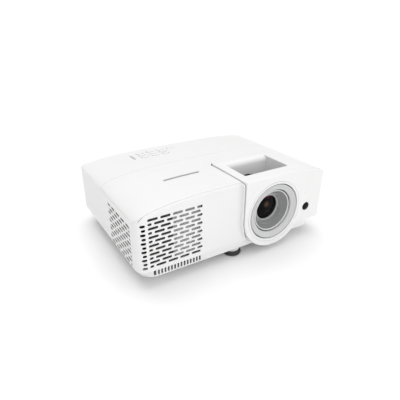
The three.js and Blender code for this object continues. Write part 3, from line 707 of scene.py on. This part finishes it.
def casing_shell():
    """The upper moulding, its panel and its vents in one, with every opening cut."""
    shell = casing_solid("upper_case", 0.0, SEAM_Z, rounded=True)
    cut(shell, casing_solid("inside", WALL, SEAM_Z - 1))
    cut(shell, collar(), "UNION")
    for cutter in [hood_front_room(), hood_roof_room(), *thin_rooms()]:
        cut(shell, cutter)
    for i, path in enumerate(seam_paths()):
        cut(shell, groove(f"seam_{i}", path, SEAM_W))
    v, s = FRONT_VENT, SIDE_VENT
    cut(shell, vent_cutter("front_slots", v, v["x0"] + 2.2, v["x1"] - 2.2, "y", FRONT_Y, 1))
    for side in (-1, 1):
        cut(shell, vent_cutter("side_slots", s, s["y0"] + 2.5, s["y1"] - 2.5, "x", side * HALF_W, -side))
    cut(shell, corner_cutter())
    r = REAR_PANEL
    recess = rounded_rect(r["x0"], r["x1"], r["z0"], r["z1"], 3.0)
    chamfered_hole(shell, recess, REAR_Y, -1, 0.8, REAR_Y - 9)
    a, b = ends("mains_inlet")
    inlet = rounded_rect(a.x - CLEAR, b.x + CLEAR, a.z - CLEAR, b.z + CLEAR, 2.0)
    chamfered_hole(shell, inlet, REAR_Y, -1, 0.5, REAR_Y - 9)
    x, _, z = middle("infrared_window")
    window_r = (high("infrared_window").x - low("infrared_window").x) / 2
    chamfered_hole(shell, circle(x, z, window_r + 0.3, 48), FRONT_Y, 1, 0.4, FRONT_Y + 8)
    for name in KEYS + ["status_lights"]:
        cut(shell, bar("well", "z", key_outline(name, CLEAR), 100.0, ABOVE))
    return shell


def casing_pieces():
    """The shell, taken apart into the panel, the three vents and the upper case."""
    shell = casing_shell()
    v, s = FRONT_VENT, SIDE_VENT
    deep = WALL + 0.5
    rooms = {
        "top_panel": box("panel_room", -200, 200, PANEL_Y0, PARTING_Y, PANEL_Z, ABOVE),
        "front_vent": box("front_room", v["x0"], v["x1"], FRONT_Y - 1, FRONT_Y + deep, v["z0"], v["z1"]),
        "left_vent": box("left_room", -HALF_W - 1, -HALF_W + deep, s["y0"], s["y1"], s["z0"], s["z1"]),
        "right_vent": box("right_room", HALF_W - deep, HALF_W + 1, s["y0"], s["y1"], s["z0"], s["z1"]),
    }
    for name, room in rooms.items():
        piece = cut(copy_of(shell, name), room, "INTERSECT", keep=True)
        finish(casing_normals(piece), "casing", WHITE, name, shaded=True)
        cut(shell, room)
    finish(casing_normals(shell), "casing", WHITE, "upper_case", shaded=True)


def lens_hood():
    """The raised surround: a roof with a pocket, and a front plate with the lens's bore."""
    x0, x1 = HOOD_X - HOOD_R + HOOD_INSET, HOOD_X + HOOD_R - HOOD_INSET
    roof_z = HOOD_TOP_Z - 22
    plate_y = HOOD_Y + HOOD_DEPTH
    p = POCKET
    brow_r = 8.0
    outline = arch(-HOOD_INSET, HOOD_TOP_Z + HOOD_INSET, 0.01, 72)
    hood = bar("lens_hood", "y", outline, HOOD_Y, HOOD_REAR_Y, r0=1.3)
    plan_view = rounded_rect(x0 + 0.4, x1 - 0.4, HOOD_Y - 40, HOOD_REAR_Y - HOOD_INSET, HOOD_CORNER_R, 10)
    cut(hood, bar("plan", "z", plan_view, -10, HOOD_TOP_Z, r1=HOOD_EDGE_R), "INTERSECT")
    cut(hood, box("under", x0 - 1, x1 + 1, plate_y, HOOD_REAR_Y + 1, -10, roof_z))
    cut(hood, box("hollow", x0 + WALL, x1 - WALL, plate_y, HOOD_REAR_Y - WALL,
                  roof_z - 1, HOOD_TOP_Z - WALL))
    tub = box("tub", p["x0"] - WALL, p["x1"] + WALL, p["y0"] - WALL, p["y1"] + brow_r + WALL,
              p["floor"] - WALL, HOOD_TOP_Z - 1)
    cut(hood, tub, "UNION")
    # the pocket: crisp in front and at the sides, and rounded over at its rear edge
    well = rounded_rect(p["x0"], p["x1"], p["y0"], p["y1"], 2.2, 6)
    stations = [(p["floor"], 1.5), (p["floor"] + 0.5, 0.5), (p["floor"] + 1.5, 0.0),
                (HOOD_TOP_Z - 0.5, 0.0), (HOOD_TOP_Z, -0.5), (HOOD_TOP_Z + 3, -0.5)]
    cut(hood, prism("well", "z", well, stations))
    brow = [(p["y1"] - 4, HOOD_TOP_Z - brow_r)]
    brow += arc(p["y1"] + brow_r, HOOD_TOP_Z - brow_r, brow_r, 180, 90, 12)
    brow += [(p["y1"] + brow_r, HOOD_TOP_Z + 3), (p["y1"] - 4, HOOD_TOP_Z + 3)]
    cut(hood, loft("brow", [[(x, y, z) for y, z in brow] for x in (p["x0"], p["x1"])]))
    barrel_room = circle(LENS_X, LENS_Z, TRIM_INNER_R + 0.3, 96)
    cut(hood, bar("barrel_room", "y", barrel_room, plate_y, p["y1"] + brow_r + 10))
    chamfered_hole(hood, circle(LENS_X, LENS_Z, LENS_BORE_R, 160), HOOD_Y, 1, 0.5, plate_y + 1)
    line_r = LENS_BORE_R + 3.5
    face_line = [(line_r - 0.5, HOOD_Y - 0.1), (line_r + 0.5, HOOD_Y - 0.1),
                 (line_r + 0.2, HOOD_Y + 0.9), (line_r - 0.2, HOOD_Y + 0.9)]
    cut(hood, turned("face_line", face_line, segments=180))
    finish(hood, "casing", WHITE, "lens_hood", angle=28)


def screw_seat(obj, name, z0, z1):
    """The sunk seat and the bore that a case screw goes into, from below."""
    x, y, _ = middle(name)
    cut(obj, bar("seat", "z", circle(x, y, SCREW["head_room"], 40), z0 - 1, z0 + SCREW["sunk"]))
    cut(obj, bar("screw_bore", "z", circle(x, y, SCREW["bore"], 24), z0 - 1, z1 + 1))


def foot_sleeve(tray, name):
    """An upright sleeve in the tray that a foot's stem runs in."""
    x, y, _ = middle(f"{name}_screw")
    top = high(f"{name}_screw").z
    stem = STEM_R[name]
    cut(tray, bar("sleeve", "z", circle(x, y, stem + 3.5, 40), FLOOR_Z + 1, top - 6, r1=1.0), "UNION")
    cut(tray, bar("bore", "z", circle(x, y, stem + 0.5, 40), FLOOR_Z - 1, top))


def skirt_vent(tray):
    """A row of upright slots along the skirt's front, with the wall thinned behind them."""
    s = SKIRT_SLOT
    front = FRONT_Y + SKIRT["end"]
    xs = [s["x0"] + i * s["pitch"] for i in range(s["count"])]
    half, z0, z1 = s["half_width"], FLOOR_Z + 3.3, SEAM_Z - 3.4
    slots = [slot_cutter("y", front, 1, x - half, x + half, z0, z1, 7.0) for x in xs]
    cut(tray, joined("skirt_slots", slots))
    cut(tray, box("thin_skirt", xs[0] - 2, xs[-1] + 2, front + GRILLE, front + WALL + 1,
                  FLOOR_Z + WALL + 0.5, SEAM_Z - 1))


def lower_case():
    """The tray under the casing: an inset skirt with a flange, sleeves, bosses, a door and a vent."""
    k = SKIRT
    skirt = lambda extra: rounded_rect(-HALF_W + k["left"] + extra, HALF_W - k["right"] - extra,
                                       FRONT_Y + k["end"] + extra, REAR_Y - k["end"] - extra,
                                       22 - extra, 14)
    rest = WALL + CLEAR
    flange = rounded_rect(-HALF_W + rest, HALF_W - rest, FRONT_Y + rest, REAR_Y - rest, 18, 14)
    tray = bar("lower_case", "z", skirt(0.0), FLOOR_Z, SEAM_Z + 0.5, r0=3.0)
    cut(tray, bar("flange", "z", flange, SEAM_Z + 0.2, SEAM_Z + WALL), "UNION")
    cut(tray, bar("room", "z", skirt(WALL), FLOOR_Z + WALL, SEAM_Z + WALL + 1))
    for name in STEM_R:
        foot_sleeve(tray, name)
    for x, y in BOSSES:
        cut(tray, bar("boss", "z", circle(x, y, 6, 48), FLOOR_Z - 1, FLOOR_Z + 9, r0=0.4), "UNION")
        cut(tray, bar("boss_bore", "z", circle(x, y, 2, 32), FLOOR_Z - 2, FLOOR_Z + 8))
    for name in ("case_screw_left", "case_screw_right"):
        screw_seat(tray, name, FLOOR_Z, FLOOR_Z + WALL)
    a, b = ends("lamp_door")
    doorway = rounded_rect(a.x - CLEAR, b.x + CLEAR, a.y - CLEAR, b.y + CLEAR, 3.0)
    cut(tray, bar("door_room", "z", doorway, FLOOR_Z - 1, FLOOR_Z + WALL + 1))
    skirt_vent(tray)
    # pressed lines on the underside
    stations = [(FLOOR_Z - 1, 0.0), (FLOOR_Z + 0.6, 0.0)]
    cut(tray, joined("lines", [bar_data("z", rounded_rect(x - 0.6, x + 0.6, -72, -12, 0.5, 3), stations)
                               for x in range(-30, 91, 12)]))
    cut(tray, hood_front_room())
    finish(tray, "casing", WHITE, "lower_case")


def lamp_door():
    """The cover under the lamp, with finger grooves and a screw seat."""
    a, b = ends("lamp_door")
    door = bar("lamp_door", "z", rounded_rect(a.x, b.x, a.y, b.y, 2.7), a.z, b.z, r0=0.5)
    stations = [(a.z - 1, 0.0), (a.z + 0.8, 0.0)]
    grips = [bar_data("z", rounded_rect(x - 0.7, x + 0.7, a.y + 12, b.y - 12, 0.6, 3), stations)
             for x in np.arange(a.x + 8, a.x + 27, 3.0)]
    cut(door, joined("grips", grips))
    screw_seat(door, "lamp_door_screw", a.z, b.z)
    finish(door, "casing", WHITE, "lamp_door")


def case_screw(name):
    """A domed screw with a cross recess, set head down into the underside."""
    x, y, _ = middle(name)
    head, end = low(name).z, high(name).z
    thread_r, root_r, head_r = 1.35, 1.05, 3.0
    profile = [(0.05, end), (1.2, end), (thread_r, end - 0.4)]
    z = end - 0.8
    while z > head + 2.4:
        profile += [(thread_r, z), (root_r, z - 0.25), (thread_r, z - 0.5)]
        z -= 0.7
    profile += [(thread_r, head + 1.4), (head_r, head + 1.4), (head_r, head + 0.6),
                (head_r - 0.3, head + 0.2), (1.8, head), (0.05, head)]
    screw = turned(name, profile, (x, y), "z", 40)
    for w, d in ((1.9, 0.35), (0.35, 1.9)):
        cut(screw, box("cross", x - w, x + w, y - d, y + d, head - 1, head + 0.8))
    finish(screw, "casing", STEEL, name, angle=40)


# ---- things that follow the casing's form ------------------------------------------------------
def subdivided(outline, step=2.0):
    """The same outline with points along its straight stretches as well."""
    def fine(inset=0.0):
        base, shape = outline(0.0), outline(inset)
        points = []
        for i, p in enumerate(shape):
            q = shape[(i + 1) % len(shape)]
            pieces = max(1, round(math.dist(base[i], base[(i + 1) % len(base)]) / step))
            points += [(p[0] + (q[0] - p[0]) * k / pieces, p[1] + (q[1] - p[1]) * k / pieces)
                       for k in range(pieces)]
        return points
    return fine


def pad_on_form(name, outline, z0, rise, edge, reach):
    """An upright body whose top follows the casing's form, raised by rise, with a rounded rim."""
    fine = subdivided(outline)
    sections = [[(x, y, z0) for x, y in fine(0.0)]]
    steps = 4
    turns = [math.pi / 2 * k / steps for k in range(steps + 1)]
    stations = [(edge * (1 - math.cos(a)), edge * (math.sin(a) - 1)) for a in turns]
    stations += [(edge + (reach - edge) * k / 3, 0.0) for k in (1, 2, 3)]
    for inset, dip in stations:
        sections.append([(x, y, top_z(x, y) + rise + dip) for x, y in fine(inset)])
    return loft(name, sections)


def keypad():
    """Key caps that stand a little proud of the top, and a sunk window for the status lights."""
    inset, rise = 0.55, 0.68
    for name in KEYS:
        cap = pad_on_form(name, key_outline(name, -inset), low(name).z, rise, edge=0.6, reach=3.0)
        finish(cap, name, WHITE, name)
    name = "status_lights"
    lights = pad_on_form(name, key_outline(name), low(name).z, -0.1, edge=0.2, reach=1.2)
    finish(lights, "casing", LIGHTS, name)


def name_bar():
    """A plain raised bar on the top panel."""
    a, b = ends("name_bar")
    outline = rounded_rect(a.x, b.x, a.y, b.y, 1.6, 6)
    fine = subdivided(outline)
    sections = [[(x, y, top_z(x, y) + up) for x, y in fine(inset)]
                for up, inset in ((0.05, 0.0), (0.45, 0.0), (0.6, 0.15), (0.65, 0.4), (0.66, 1.2))]
    finish(loft("name_bar", sections), "casing", MARK, "name_bar")


def infrared_window():
    """A dark round window, slightly domed."""
    a, b = ends("infrared_window")
    x, _, z = middle("infrared_window")
    r = (b.x - a.x) / 2
    profile = [(0.05, b.y), (r, b.y), (r, a.y + 0.9), (r - 0.25, a.y + 0.6), (r - 1.2, a.y + 0.25),
               (r * 0.5, a.y + 0.05), (0.05, a.y)]
    window = turned("infrared_window", profile, (x, z), segments=64)
    finish(window, "casing", WINDOW, "infrared_window", angle=50)


# ---- lens --------------------------------------------------------------------------------------
def trim_ring():
    """The light grey ring in the hood's opening, dished towards the lens, with two black rings in the gaps
    round it that stand in for the shade there.
    """
    gap = 1.3
    inner, outer = TRIM_INNER_R, LENS_BORE_R - gap
    y = HOOD_Y
    dish_r, dish_wide, dish_deep = inner + 0.6, outer - inner - 2.2, 2.75
    profile = [(inner, y + HOOD_DEPTH), (inner, y + 4.0), (inner + 0.2, y + 3.5), (dish_r, y + 3.25)]
    for share in (k / 10 for k in range(1, 11)):
        profile.append((dish_r + dish_wide * share, y + 3.25 - dish_deep * share ** 1.2))
    profile += [(outer - 1.0, y + 0.45), (outer - 0.3, y + 0.7), (outer, y + 1.2), (outer, y + HOOD_DEPTH)]
    trim = turned("lens_trim_ring", profile, segments=180)
    finish(trim, "casing", TRIM, "lens_trim_ring")
    # painted shade: a black ring deep in the gap outside the trim, a dark sheet standing in for the shade
    # in that gap
    gap_shade_profile = [(outer + 0.05, y + 3.0), (outer + 0.5, y + 2.7), (LENS_BORE_R - 0.05, y + 3.0),
            (LENS_BORE_R - 0.05, y + HOOD_DEPTH), (outer + 0.05, y + HOOD_DEPTH)]
    finish(turned("trim_gap_painted_shade", gap_shade_profile, segments=180), "casing", BLACK)
    # painted shade: a black ring deep in the gap between the trim and the barrel, standing in for the
    # shade there
    gap_shade_profile = [(FOCUS_R + 0.1, y + 6.5), (inner - 0.1, y + 6.5), (inner - 0.1, y + HOOD_DEPTH),
            (FOCUS_R + 0.1, y + HOOD_DEPTH)]
    finish(turned("barrel_gap_painted_shade", gap_shade_profile, segments=180), "casing", BLACK)


def focus_ring():
    """The barrel's front: a funnel, a stepped ring in it, and the rings round its mouth and the glass."""
    y = HOOD_Y
    back = high("focus_ring").y
    mouth_r, seat_r = 29.3, GLASS_R + 1.75
    mouth_y, seat_y = y + 5.9, GLASS_Y - 1.3
    glass_room = GLASS_R + 0.35
    cone_y = lambda r: mouth_y + (seat_y - mouth_y) * (mouth_r - r) / (mouth_r - seat_r)
    steps_from, steps = 24.6, 3
    profile = [(FOCUS_R, back), (FOCUS_R, y + 7.0), (mouth_r + 0.1, y + 7.0), (mouth_r, mouth_y + 1.2),
               (steps_from, cone_y(steps_from)), (steps_from, seat_y + 3.0), (glass_room, seat_y + 3.0),
               (glass_room, GLASS_Y + 6), (BARREL_R, GLASS_Y + 6), (BARREL_R, back)]
    funnel = turned("focus_ring", profile, segments=180)
    finish(funnel, "focus", FUNNEL, "focus_ring", angle=25)
    stairs = [(steps_from - 0.05, seat_y + 2.9), (steps_from - 0.05, cone_y(steps_from) + 0.6)]
    tread = (steps_from - seat_r) / steps
    for k in range(steps):
        r = steps_from - tread * k
        stairs += [(r - 0.2, cone_y(r) + 0.2), (r - tread * 0.55, cone_y(r) + 0.25),
                   (r - tread * 0.65, cone_y(r - tread) + 1.0)]
    stairs += [(seat_r + 0.05, seat_y + 1.0), (seat_r + 0.05, seat_y + 2.9)]
    # the stepped ring takes the lighter grey, a painted highlight on its steps
    finish(turned("stepped_ring", stairs, segments=160), "focus", STAIRS_GREY_WITH_PAINTED_HIGHLIGHT, angle=25)
    rim = [(mouth_r + 0.7, y + 7.0), (mouth_r + 0.7, y + 5.8), (mouth_r + 0.95, y + 5.2),
           (mouth_r + 1.4, y + 5.0), (FOCUS_R - 0.5, y + 5.2), (FOCUS_R - 0.1, y + 5.8),
           (FOCUS_R - 0.1, y + 7.0)]
    finish(turned("focus_rim", rim, segments=180), "focus", WHITE, angle=50)
    inner, outer = GLASS_R + 0.4, seat_r - 0.1
    ring = [(inner, seat_y + 3.0), (inner, seat_y + 0.2), (inner + 0.3, seat_y - 0.1),
            (outer - 0.3, seat_y - 0.1), (outer, seat_y + 0.2), (outer, seat_y + 3.0)]
    finish(turned("glass_retainer", ring, segments=160), "focus", TRIM, angle=50)


def front_lens():
    """The front element, bulging towards the front."""
    r, bulge, steps = GLASS_R, 3.4, 24
    profile = [(0.02, GLASS_Y + 5), (r, GLASS_Y + 5), (r, GLASS_Y + 1)]
    for share in (1 - k / steps for k in range(1, steps + 1)):
        profile.append((max(r * share, 0.02), GLASS_Y + 1 - bulge * (1 - share ** 2)))
    glass = turned("front_lens", profile, segments=128)
    finish(glass, "focus", GLASS, "front_lens", angle=50)


def ribbed(name, place, outer_r, stations, teeth, groove, axis):
    """A ribbed drum along an axis. A station is a place along it and how far the surface lies in there.
    Where that is the groove's depth, only the grooves lie in, and the teeth keep the full radius."""
    sections = []
    for at, dip in stations:
        ring = []
        for i in range(teeth * 4):
            turn = 2 * math.pi * i / (teeth * 4)
            r = outer_r - (dip if i % 4 < 2 or dip != groove else 0.0)
            ring.append(PLACE[axis](place[0] + r * math.cos(turn), place[1] + r * math.sin(turn), at))
        sections.append(ring)
    return loft(name, sections)


def zoom_ring():
    """A ribbed grip ring with a finger tab that stands up into the pocket."""
    a, b = ends("zoom_ring")
    outer_r = (b.x - a.x) / 2
    groove, chamfer = 0.9, 1.2
    stations = [(a.y, chamfer), (a.y + chamfer, 0.0), (a.y + 4, 0.0), (a.y + 5, groove),
                (b.y - 5, groove), (b.y - 4, 0.0), (b.y - chamfer, 0.0), (b.y, chamfer)]
    ring = ribbed("zoom_ring", (LENS_X, LENS_Z), outer_r, stations, 60, groove, "y")
    tab = rounded_rect(LENS_X - 5, LENS_X + 5, a.y + 2, a.y + 12, 2.0)
    cut(ring, bar("tab", "z", tab, LENS_Z + outer_r - 4, b.z, r1=1.2), "UNION")
    cut(ring, bar("ring_bore", "y", circle(LENS_X, LENS_Z, BARREL_R + 0.05, 96), a.y - 1, b.y + 1))
    finish(ring, "zoom", BLACK, "zoom_ring", angle=25)


# ---- feet --------------------------------------------------------------------------------------
def foot(name):
    """A rubber pad with a ringed underside, and a ribbed adjusting screw with a threaded stem."""
    pad, screw = f"{name}_pad", f"{name}_screw"
    x, y, _ = middle(pad)
    r, top = (high(pad).x - low(pad).x) / 2, high(pad).z
    s, t = ends(screw)
    stem_r = STEM_R[name]
    profile = [(stem_r + CLEAR, s.z - CLEAR), (stem_r + CLEAR, top), (r - 2.2, top), (r - 1.3, top - 0.5),
               (r - 0.7, top - 1.4), (r - 0.1, 2.4), (r, 1.6), (r - 0.3, 0.8), (r - 1.0, 0.15),
               (r - 1.6, 0.0)]
    for ring_r in (r - 2.4, r - 4.6):
        profile += [(ring_r, 0.0), (ring_r - 0.2, 0.5), (ring_r - 1.0, 0.5), (ring_r - 1.2, 0.0)]
    profile += [(0.05, 0.0), (0.05, s.z - CLEAR)]
    finish(turned(pad, profile, (x, y), "z", 72), pad, RUBBER, pad, angle=40)
    hub_r, hub0, hub1 = (t.x - s.x) / 2, top + CLEAR, FLOOR_Z - CLEAR
    groove, chamfer = 0.4, 0.9
    stations = [(hub0, chamfer), (hub0 + 0.5, groove), (hub0 + 1.0, groove),
                (hub1 - 1.0, groove), (hub1 - 0.5, groove), (hub1, chamfer)]
    hub = ribbed(screw, (x, y), hub_r, stations, 36, groove, "z")
    thread = [(0.05, s.z), (stem_r - 0.6, s.z), (stem_r, s.z + 0.6)]
    z = s.z + 1.0
    while z < t.z - 1.6:
        thread += [(stem_r, z), (stem_r - 0.5, z + 0.5), (stem_r, z + 1.0)]
        z += 1.4
    thread += [(stem_r, t.z - 0.5), (stem_r - 0.6, t.z), (0.05, t.z)]
    cut(hub, turned("thread", thread, (x, y), "z", 48), "UNION")
    finish(hub, screw, OFF_WHITE, screw, angle=35)


# ---- connectors --------------------------------------------------------------------------------
def rear_panel():
    """The plate that holds the sockets, with an opening for each and a grille for the speaker."""
    a, b = ends("rear_panel")
    panel = bar("rear_panel", "y", rounded_rect(a.x, b.x, a.z, b.z, 2.6), a.y, b.y)
    for name in ("hdmi_port_1", "hdmi_port_2", "usb_port", "audio_jack", "trigger_jack"):
        s, t = ends(name)
        hole = rounded_rect(s.x - CLEAR, t.x + CLEAR, s.z - CLEAR, t.z + CLEAR, 0.8)
        chamfered_hole(panel, hole, b.y, -1, 0.5, a.y - 1)
    for x in np.arange(-36, -10, 4.0):
        slot = rounded_rect(x - 0.9, x + 0.9, 48, 76, 0.85)
        cut(panel, prism("panel_slot", "y", slot, [(b.y + 1, 0.0), (b.y - 1.2, 0.0)]))
    finish(panel, "casing", OFF_WHITE, "rear_panel")


def port(name):
    """A flat socket: a moulded block, a folded steel mouth, and a tongue with contacts."""
    a, b = ends(name)
    x, _, z = middle(name)
    half_w, half_h = (6.9, 2.3) if "hdmi" in name else (6.3, 2.8)

    def mouth(grow, r, steps):
        w, h = half_w + grow, half_h + grow
        return rounded_rect(x - w, x + w, z - h, z + h, r, steps)

    body = bar(name, "y", rounded_rect(a.x, b.x, a.z, b.z, 0.5, 3), a.y, b.y - 0.1, r1=0.3)
    cut(body, bar("mouth", "y", mouth(0.0, 0.6, 3), a.y + 4, b.y + 1))
    tongue = rounded_rect(x - half_w + 1.2, x + half_w - 1.2, z - 0.7, z + 0.7, 0.3, 2)
    cut(body, bar("tongue", "y", tongue, a.y + 3, b.y - 2, r1=0.25), "UNION")
    finish(body, "casing", BLACK, name)
    rim = bar(f"{name}_rim", "y", mouth(0.3, 0.8, 4), a.y + 6, b.y)
    cut(rim, bar("rim_bore", "y", mouth(-0.1, 0.5, 4), a.y + 5, b.y + 1))
    finish(rim, "casing", STEEL)
    stations = [(a.y + 5, 0.0), (b.y - 2.6, 0.0)]
    strips = [bar_data("y", rounded_rect(px - 0.18, px + 0.18, z + 0.6, z + 0.85, 0.05, 1), stations)
              for px in np.arange(x - half_w + 2.2, x + half_w - 2, 1.0)]
    finish(joined(f"{name}_contacts", strips), "casing", GOLD)


def jack(name):
    """A round socket for a 3.5 mm plug, with a plated throat."""
    a, b = ends(name)
    x, _, z = middle(name)
    body = bar(name, "y", rounded_rect(a.x, b.x, a.z, b.z, 0.8, 4), a.y, b.y - 0.3, r1=0.4)
    cut(body, bar("throat", "y", circle(x, z, 2.4, 40), a.y + 3, b.y + 1))
    finish(body, "casing", BLACK, name)
    profile = [(1.8, a.y + 3.2), (2.35, a.y + 3.2), (2.35, b.y - 0.3), (3.1, b.y - 0.3), (3.1, b.y - 0.1),
               (2.9, b.y), (2.0, b.y), (1.8, b.y - 0.25)]
    finish(turned(f"{name}_sleeve", profile, (x, z), segments=48), "casing", GOLD)


def mains_inlet():
    """An inlet with three pins, its mouth's two lower corners cut off."""
    a, b = ends("mains_inlet")
    x, _, z = middle("mains_inlet")
    body = bar("mains_inlet", "y", rounded_rect(a.x, b.x, a.z, b.z, 1.8, 5), a.y, b.y, r1=0.5)
    mouth = lambda g: [(x - 12 + g, z + 8 - g), (x - 12 + g, z - 3.5), (x - 7.5, z - 8 + g),
                       (x + 7.5, z - 8 + g), (x + 12 - g, z - 3.5), (x + 12 - g, z + 8 - g)]
    stations = [(b.y + 1, 0.0), (b.y - 0.3, 0.0), (b.y - 0.8, 0.5), (b.y - 16, 0.5)]
    cut(body, prism("mouth", "y", mouth, stations))
    finish(body, "casing", BLACK, "mains_inlet")
    stations = [(b.y - 17, 0.0), (b.y - 9.6, 0.0), (b.y - 9, 0.35)]
    centres = ((x - 7, z - 2), (x + 7, z - 2), (x, z + 3.5))
    pins = [bar_data("y", rounded_rect(u - 1, u + 1, v - 2, v + 2, 0.4, 3), stations) for u, v in centres]
    finish(joined("inlet_pins", pins), "casing", STEEL)


# ---- works that show through the slots ---------------------------------------------------------
def fan_rotor(name, body):
    """A hub with seven twisted, swept blades."""
    a, b = ends(name)
    x, y, z = middle(name)
    hub_r, reach = 11.0, (b.y - a.y) / 2
    blades, steps = 7, 6
    # a blade's section: places across its half chord, and the thickness to either side of its middle
    section = ((-1, 0.45), (-0.5, 0.65), (0, 0.7), (0.5, 0.65), (1, 0.3),
               (1, -0.3), (0.5, 0.0), (0, 0.1), (-0.5, 0.0), (-1, -0.3))
    half_chord = 4.6
    profile = [(0.05, a.x), (hub_r - 1.2, a.x), (hub_r, a.x + 1.2), (hub_r, b.x - 0.6), (hub_r - 0.6, b.x),
               (0.05, b.x)]
    rotor = turned(name, profile, (y, z), "x", 64)
    for i in range(blades):
        sections = []
        for share in (k / steps for k in range(steps + 1)):
            r = hub_r - 1 + (reach - hub_r + 1) * share
            sweep = 2 * math.pi * i / blades + 0.5 * share ** 1.3
            spread_angle, twist = 0.42 - 0.12 * share, 0.75 - 0.25 * share
            ring = []
            for side, thick in section:
                around = sweep + side * spread_angle * hub_r / r * math.cos(twist)
                along = x + side * half_chord * math.sin(twist) + thick
                ring.append((along, y + r * math.cos(around), z + r * math.sin(around)))
            sections.append(ring)
        cut(rotor, loft("blade", sections), "UNION")
    finish(rotor, body, BLACK, name)


# CAD nodes that keep their shape, by the material they take
CARRIED = {
    BLACK: ["lens_barrel", "intake_fan_frame", "exhaust_fan_frame", "speaker"],
    DARK: ["dust_mesh"],
    BAFFLE: ["vent_baffle"],
    GLASS: ["rear_lens", "colour_wheel"],
    ALUMINIUM: ["lamp_housing", "lamp_reflector", "optical_engine", "heat_sink"],
    STEEL: ["wheel_motor"],
    BOARD: ["keypad_board", "connector_board", "power_board", "main_board"],
}


def intake_filter_and_slot_shade():
    """A dark filter behind the left vent, with upright grooves in its face; its dark colour also stands in
    for the shade inside the slots.
    """
    s = SIDE_VENT
    x0, x1 = -HALF_W + WALL + 0.6, -HALF_W + WALL + 1.8
    pad = box("intake_filter_and_slot_shade", x0, x1, s["y0"] + 2, s["y1"] - 2, s["z0"] + 1, s["z1"] - 1.5)
    stations = [(s["z0"] + 2, 0.0), (s["z1"] - 2.5, 0.0)]
    lines = [bar_data("z", rounded_rect(x0 - 0.5, x0 + 0.3, y - 0.4, y + 0.4, 0.2, 2), stations)
             for y in np.arange(s["y0"] + 4, s["y1"] - 3, 2.0)]
    cut(pad, joined("filter_lines", lines))
    # painted shade: the pad's dark colour darkens the slots in front of it, as their shade would
    finish(pad, "casing", DARK)


def carried_nodes():
    """CAD nodes whose shape is right keep it, and take a finer material."""
    for material, names in CARRIED.items():
        for name in names:
            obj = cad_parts[name]
            obj.data.materials.clear()
            obj.data.materials.append(material)


# ---- stage -------------------------------------------------------------------------------------
def floor():
    """A pale paper floor, flat round the object. Far away it rises gently, so that it fills the view."""
    rings = ((3000, 0), (9000, 0), (14000, 60), (20000, 260), (30000, 800), (44000, 1800))
    around = 72
    points = [(0, 0, 0)]
    points += [(r * math.cos(math.tau * k / around), r * math.sin(math.tau * k / around), z)
               for r, z in rings for k in range(around)]
    faces = [(0, 1 + k, 1 + (k + 1) % around) for k in range(around)]
    for ring in range(len(rings) - 1):
        inner, outer = 1 + ring * around, 1 + (ring + 1) * around
        faces += [(inner + k, outer + k, outer + (k + 1) % around, inner + (k + 1) % around)
                  for k in range(around)]
    sheet = mesh_object("floor", points, faces)
    sheet.data.materials.append(principled("floor_paper", (0.93, 0.93, 0.93), 0.9, Specular_IOR_Level=0.0))


def sun_light(name, towards, angle, strength):
    """A distant, wide and soft light, coming from a direction."""
    light = bpy.data.lights.new(name, "SUN")
    light.angle = math.radians(angle)
    light.energy = strength
    obj = bpy.data.objects.new(name, light)
    bpy.context.scene.collection.objects.link(obj)
    obj.rotation_euler = (-Vector(towards)).to_track_quat("-Z", "Y").to_euler()


def lights():
    """A soft room, and one wide softbox above and behind the object."""
    world = bpy.data.worlds.new("studio")
    bpy.context.scene.world = world
    world.use_nodes = True
    background = world.node_tree.nodes["Background"]
    # a room that is brightest in front of the object, and dimmest at its two ends
    brightest, rear_share, end_share = 1.75, 0.40, 0.05
    to_front = (0.1, -0.995, 0.0)
    tree = world.node_tree
    direction = tree.nodes.new("ShaderNodeTexCoord")
    along = tree.nodes.new("ShaderNodeVectorMath")
    along.operation = "DOT_PRODUCT"
    along.inputs[1].default_value = to_front
    share = tree.nodes.new("ShaderNodeMapRange")
    share.inputs["From Min"].default_value = -1.0
    ramp = tree.nodes.new("ShaderNodeValToRGB")
    ramp.color_ramp.elements[0].color = (rear_share, rear_share, rear_share, 1.0)
    ramp.color_ramp.elements[1].color = (1.0, 1.0, 1.0, 1.0)
    ramp.color_ramp.interpolation = "B_SPLINE"
    dimmest = ramp.color_ramp.elements.new(0.5)
    dimmest.color = (end_share, end_share, end_share, 1.0)
    for source, target in ((direction.outputs["Generated"], along.inputs[0]),
                           (along.outputs["Value"], share.inputs["Value"]),
                           (share.outputs["Result"], ramp.inputs["Fac"]),
                           (ramp.outputs["Color"], background.inputs["Color"])):
        tree.links.new(source, target)
    background.inputs["Strength"].default_value = brightest
    sun_light("softbox", towards=(0.05, 0.24, 0.84), angle=65.0, strength=1.80)


def camera():
    """The viewpoint: in front of the object, to its left, and above."""
    azimuth, elevation = math.radians(-31.08), math.radians(26.36)
    data = bpy.data.cameras.new("camera")
    data.sensor_width = 36.0
    data.lens = 35.13
    obj = bpy.data.objects.new("camera", data)
    bpy.context.scene.collection.objects.link(obj)
    obj.location = (-0.29527, -0.48735, 0.32700)
    obj.rotation_euler = (math.pi / 2 - elevation, 0.0, azimuth)
    bpy.context.scene.camera = obj


casing_pieces()
lens_hood()
lower_case()
lamp_door()
for screw_name in ("lamp_door_screw", "case_screw_left", "case_screw_right"):
    case_screw(screw_name)
keypad()
name_bar()
infrared_window()
trim_ring()
focus_ring()
front_lens()
zoom_ring()
for foot_name in STEM_R:
    foot(foot_name)
rear_panel()
for port_name in ("hdmi_port_1", "hdmi_port_2", "usb_port"):
    port(port_name)
for jack_name in ("audio_jack", "trigger_jack"):
    jack(jack_name)
mains_inlet()
fan_rotor("intake_fan_rotor", "intake_rotor")
fan_rotor("exhaust_fan_rotor", "exhaust_rotor")
intake_filter_and_slot_shade()
carried_nodes()
floor()
lights()
camera()
bpy.context.scene.view_settings.view_transform = "Standard"

bpy.context.view_layer.update()
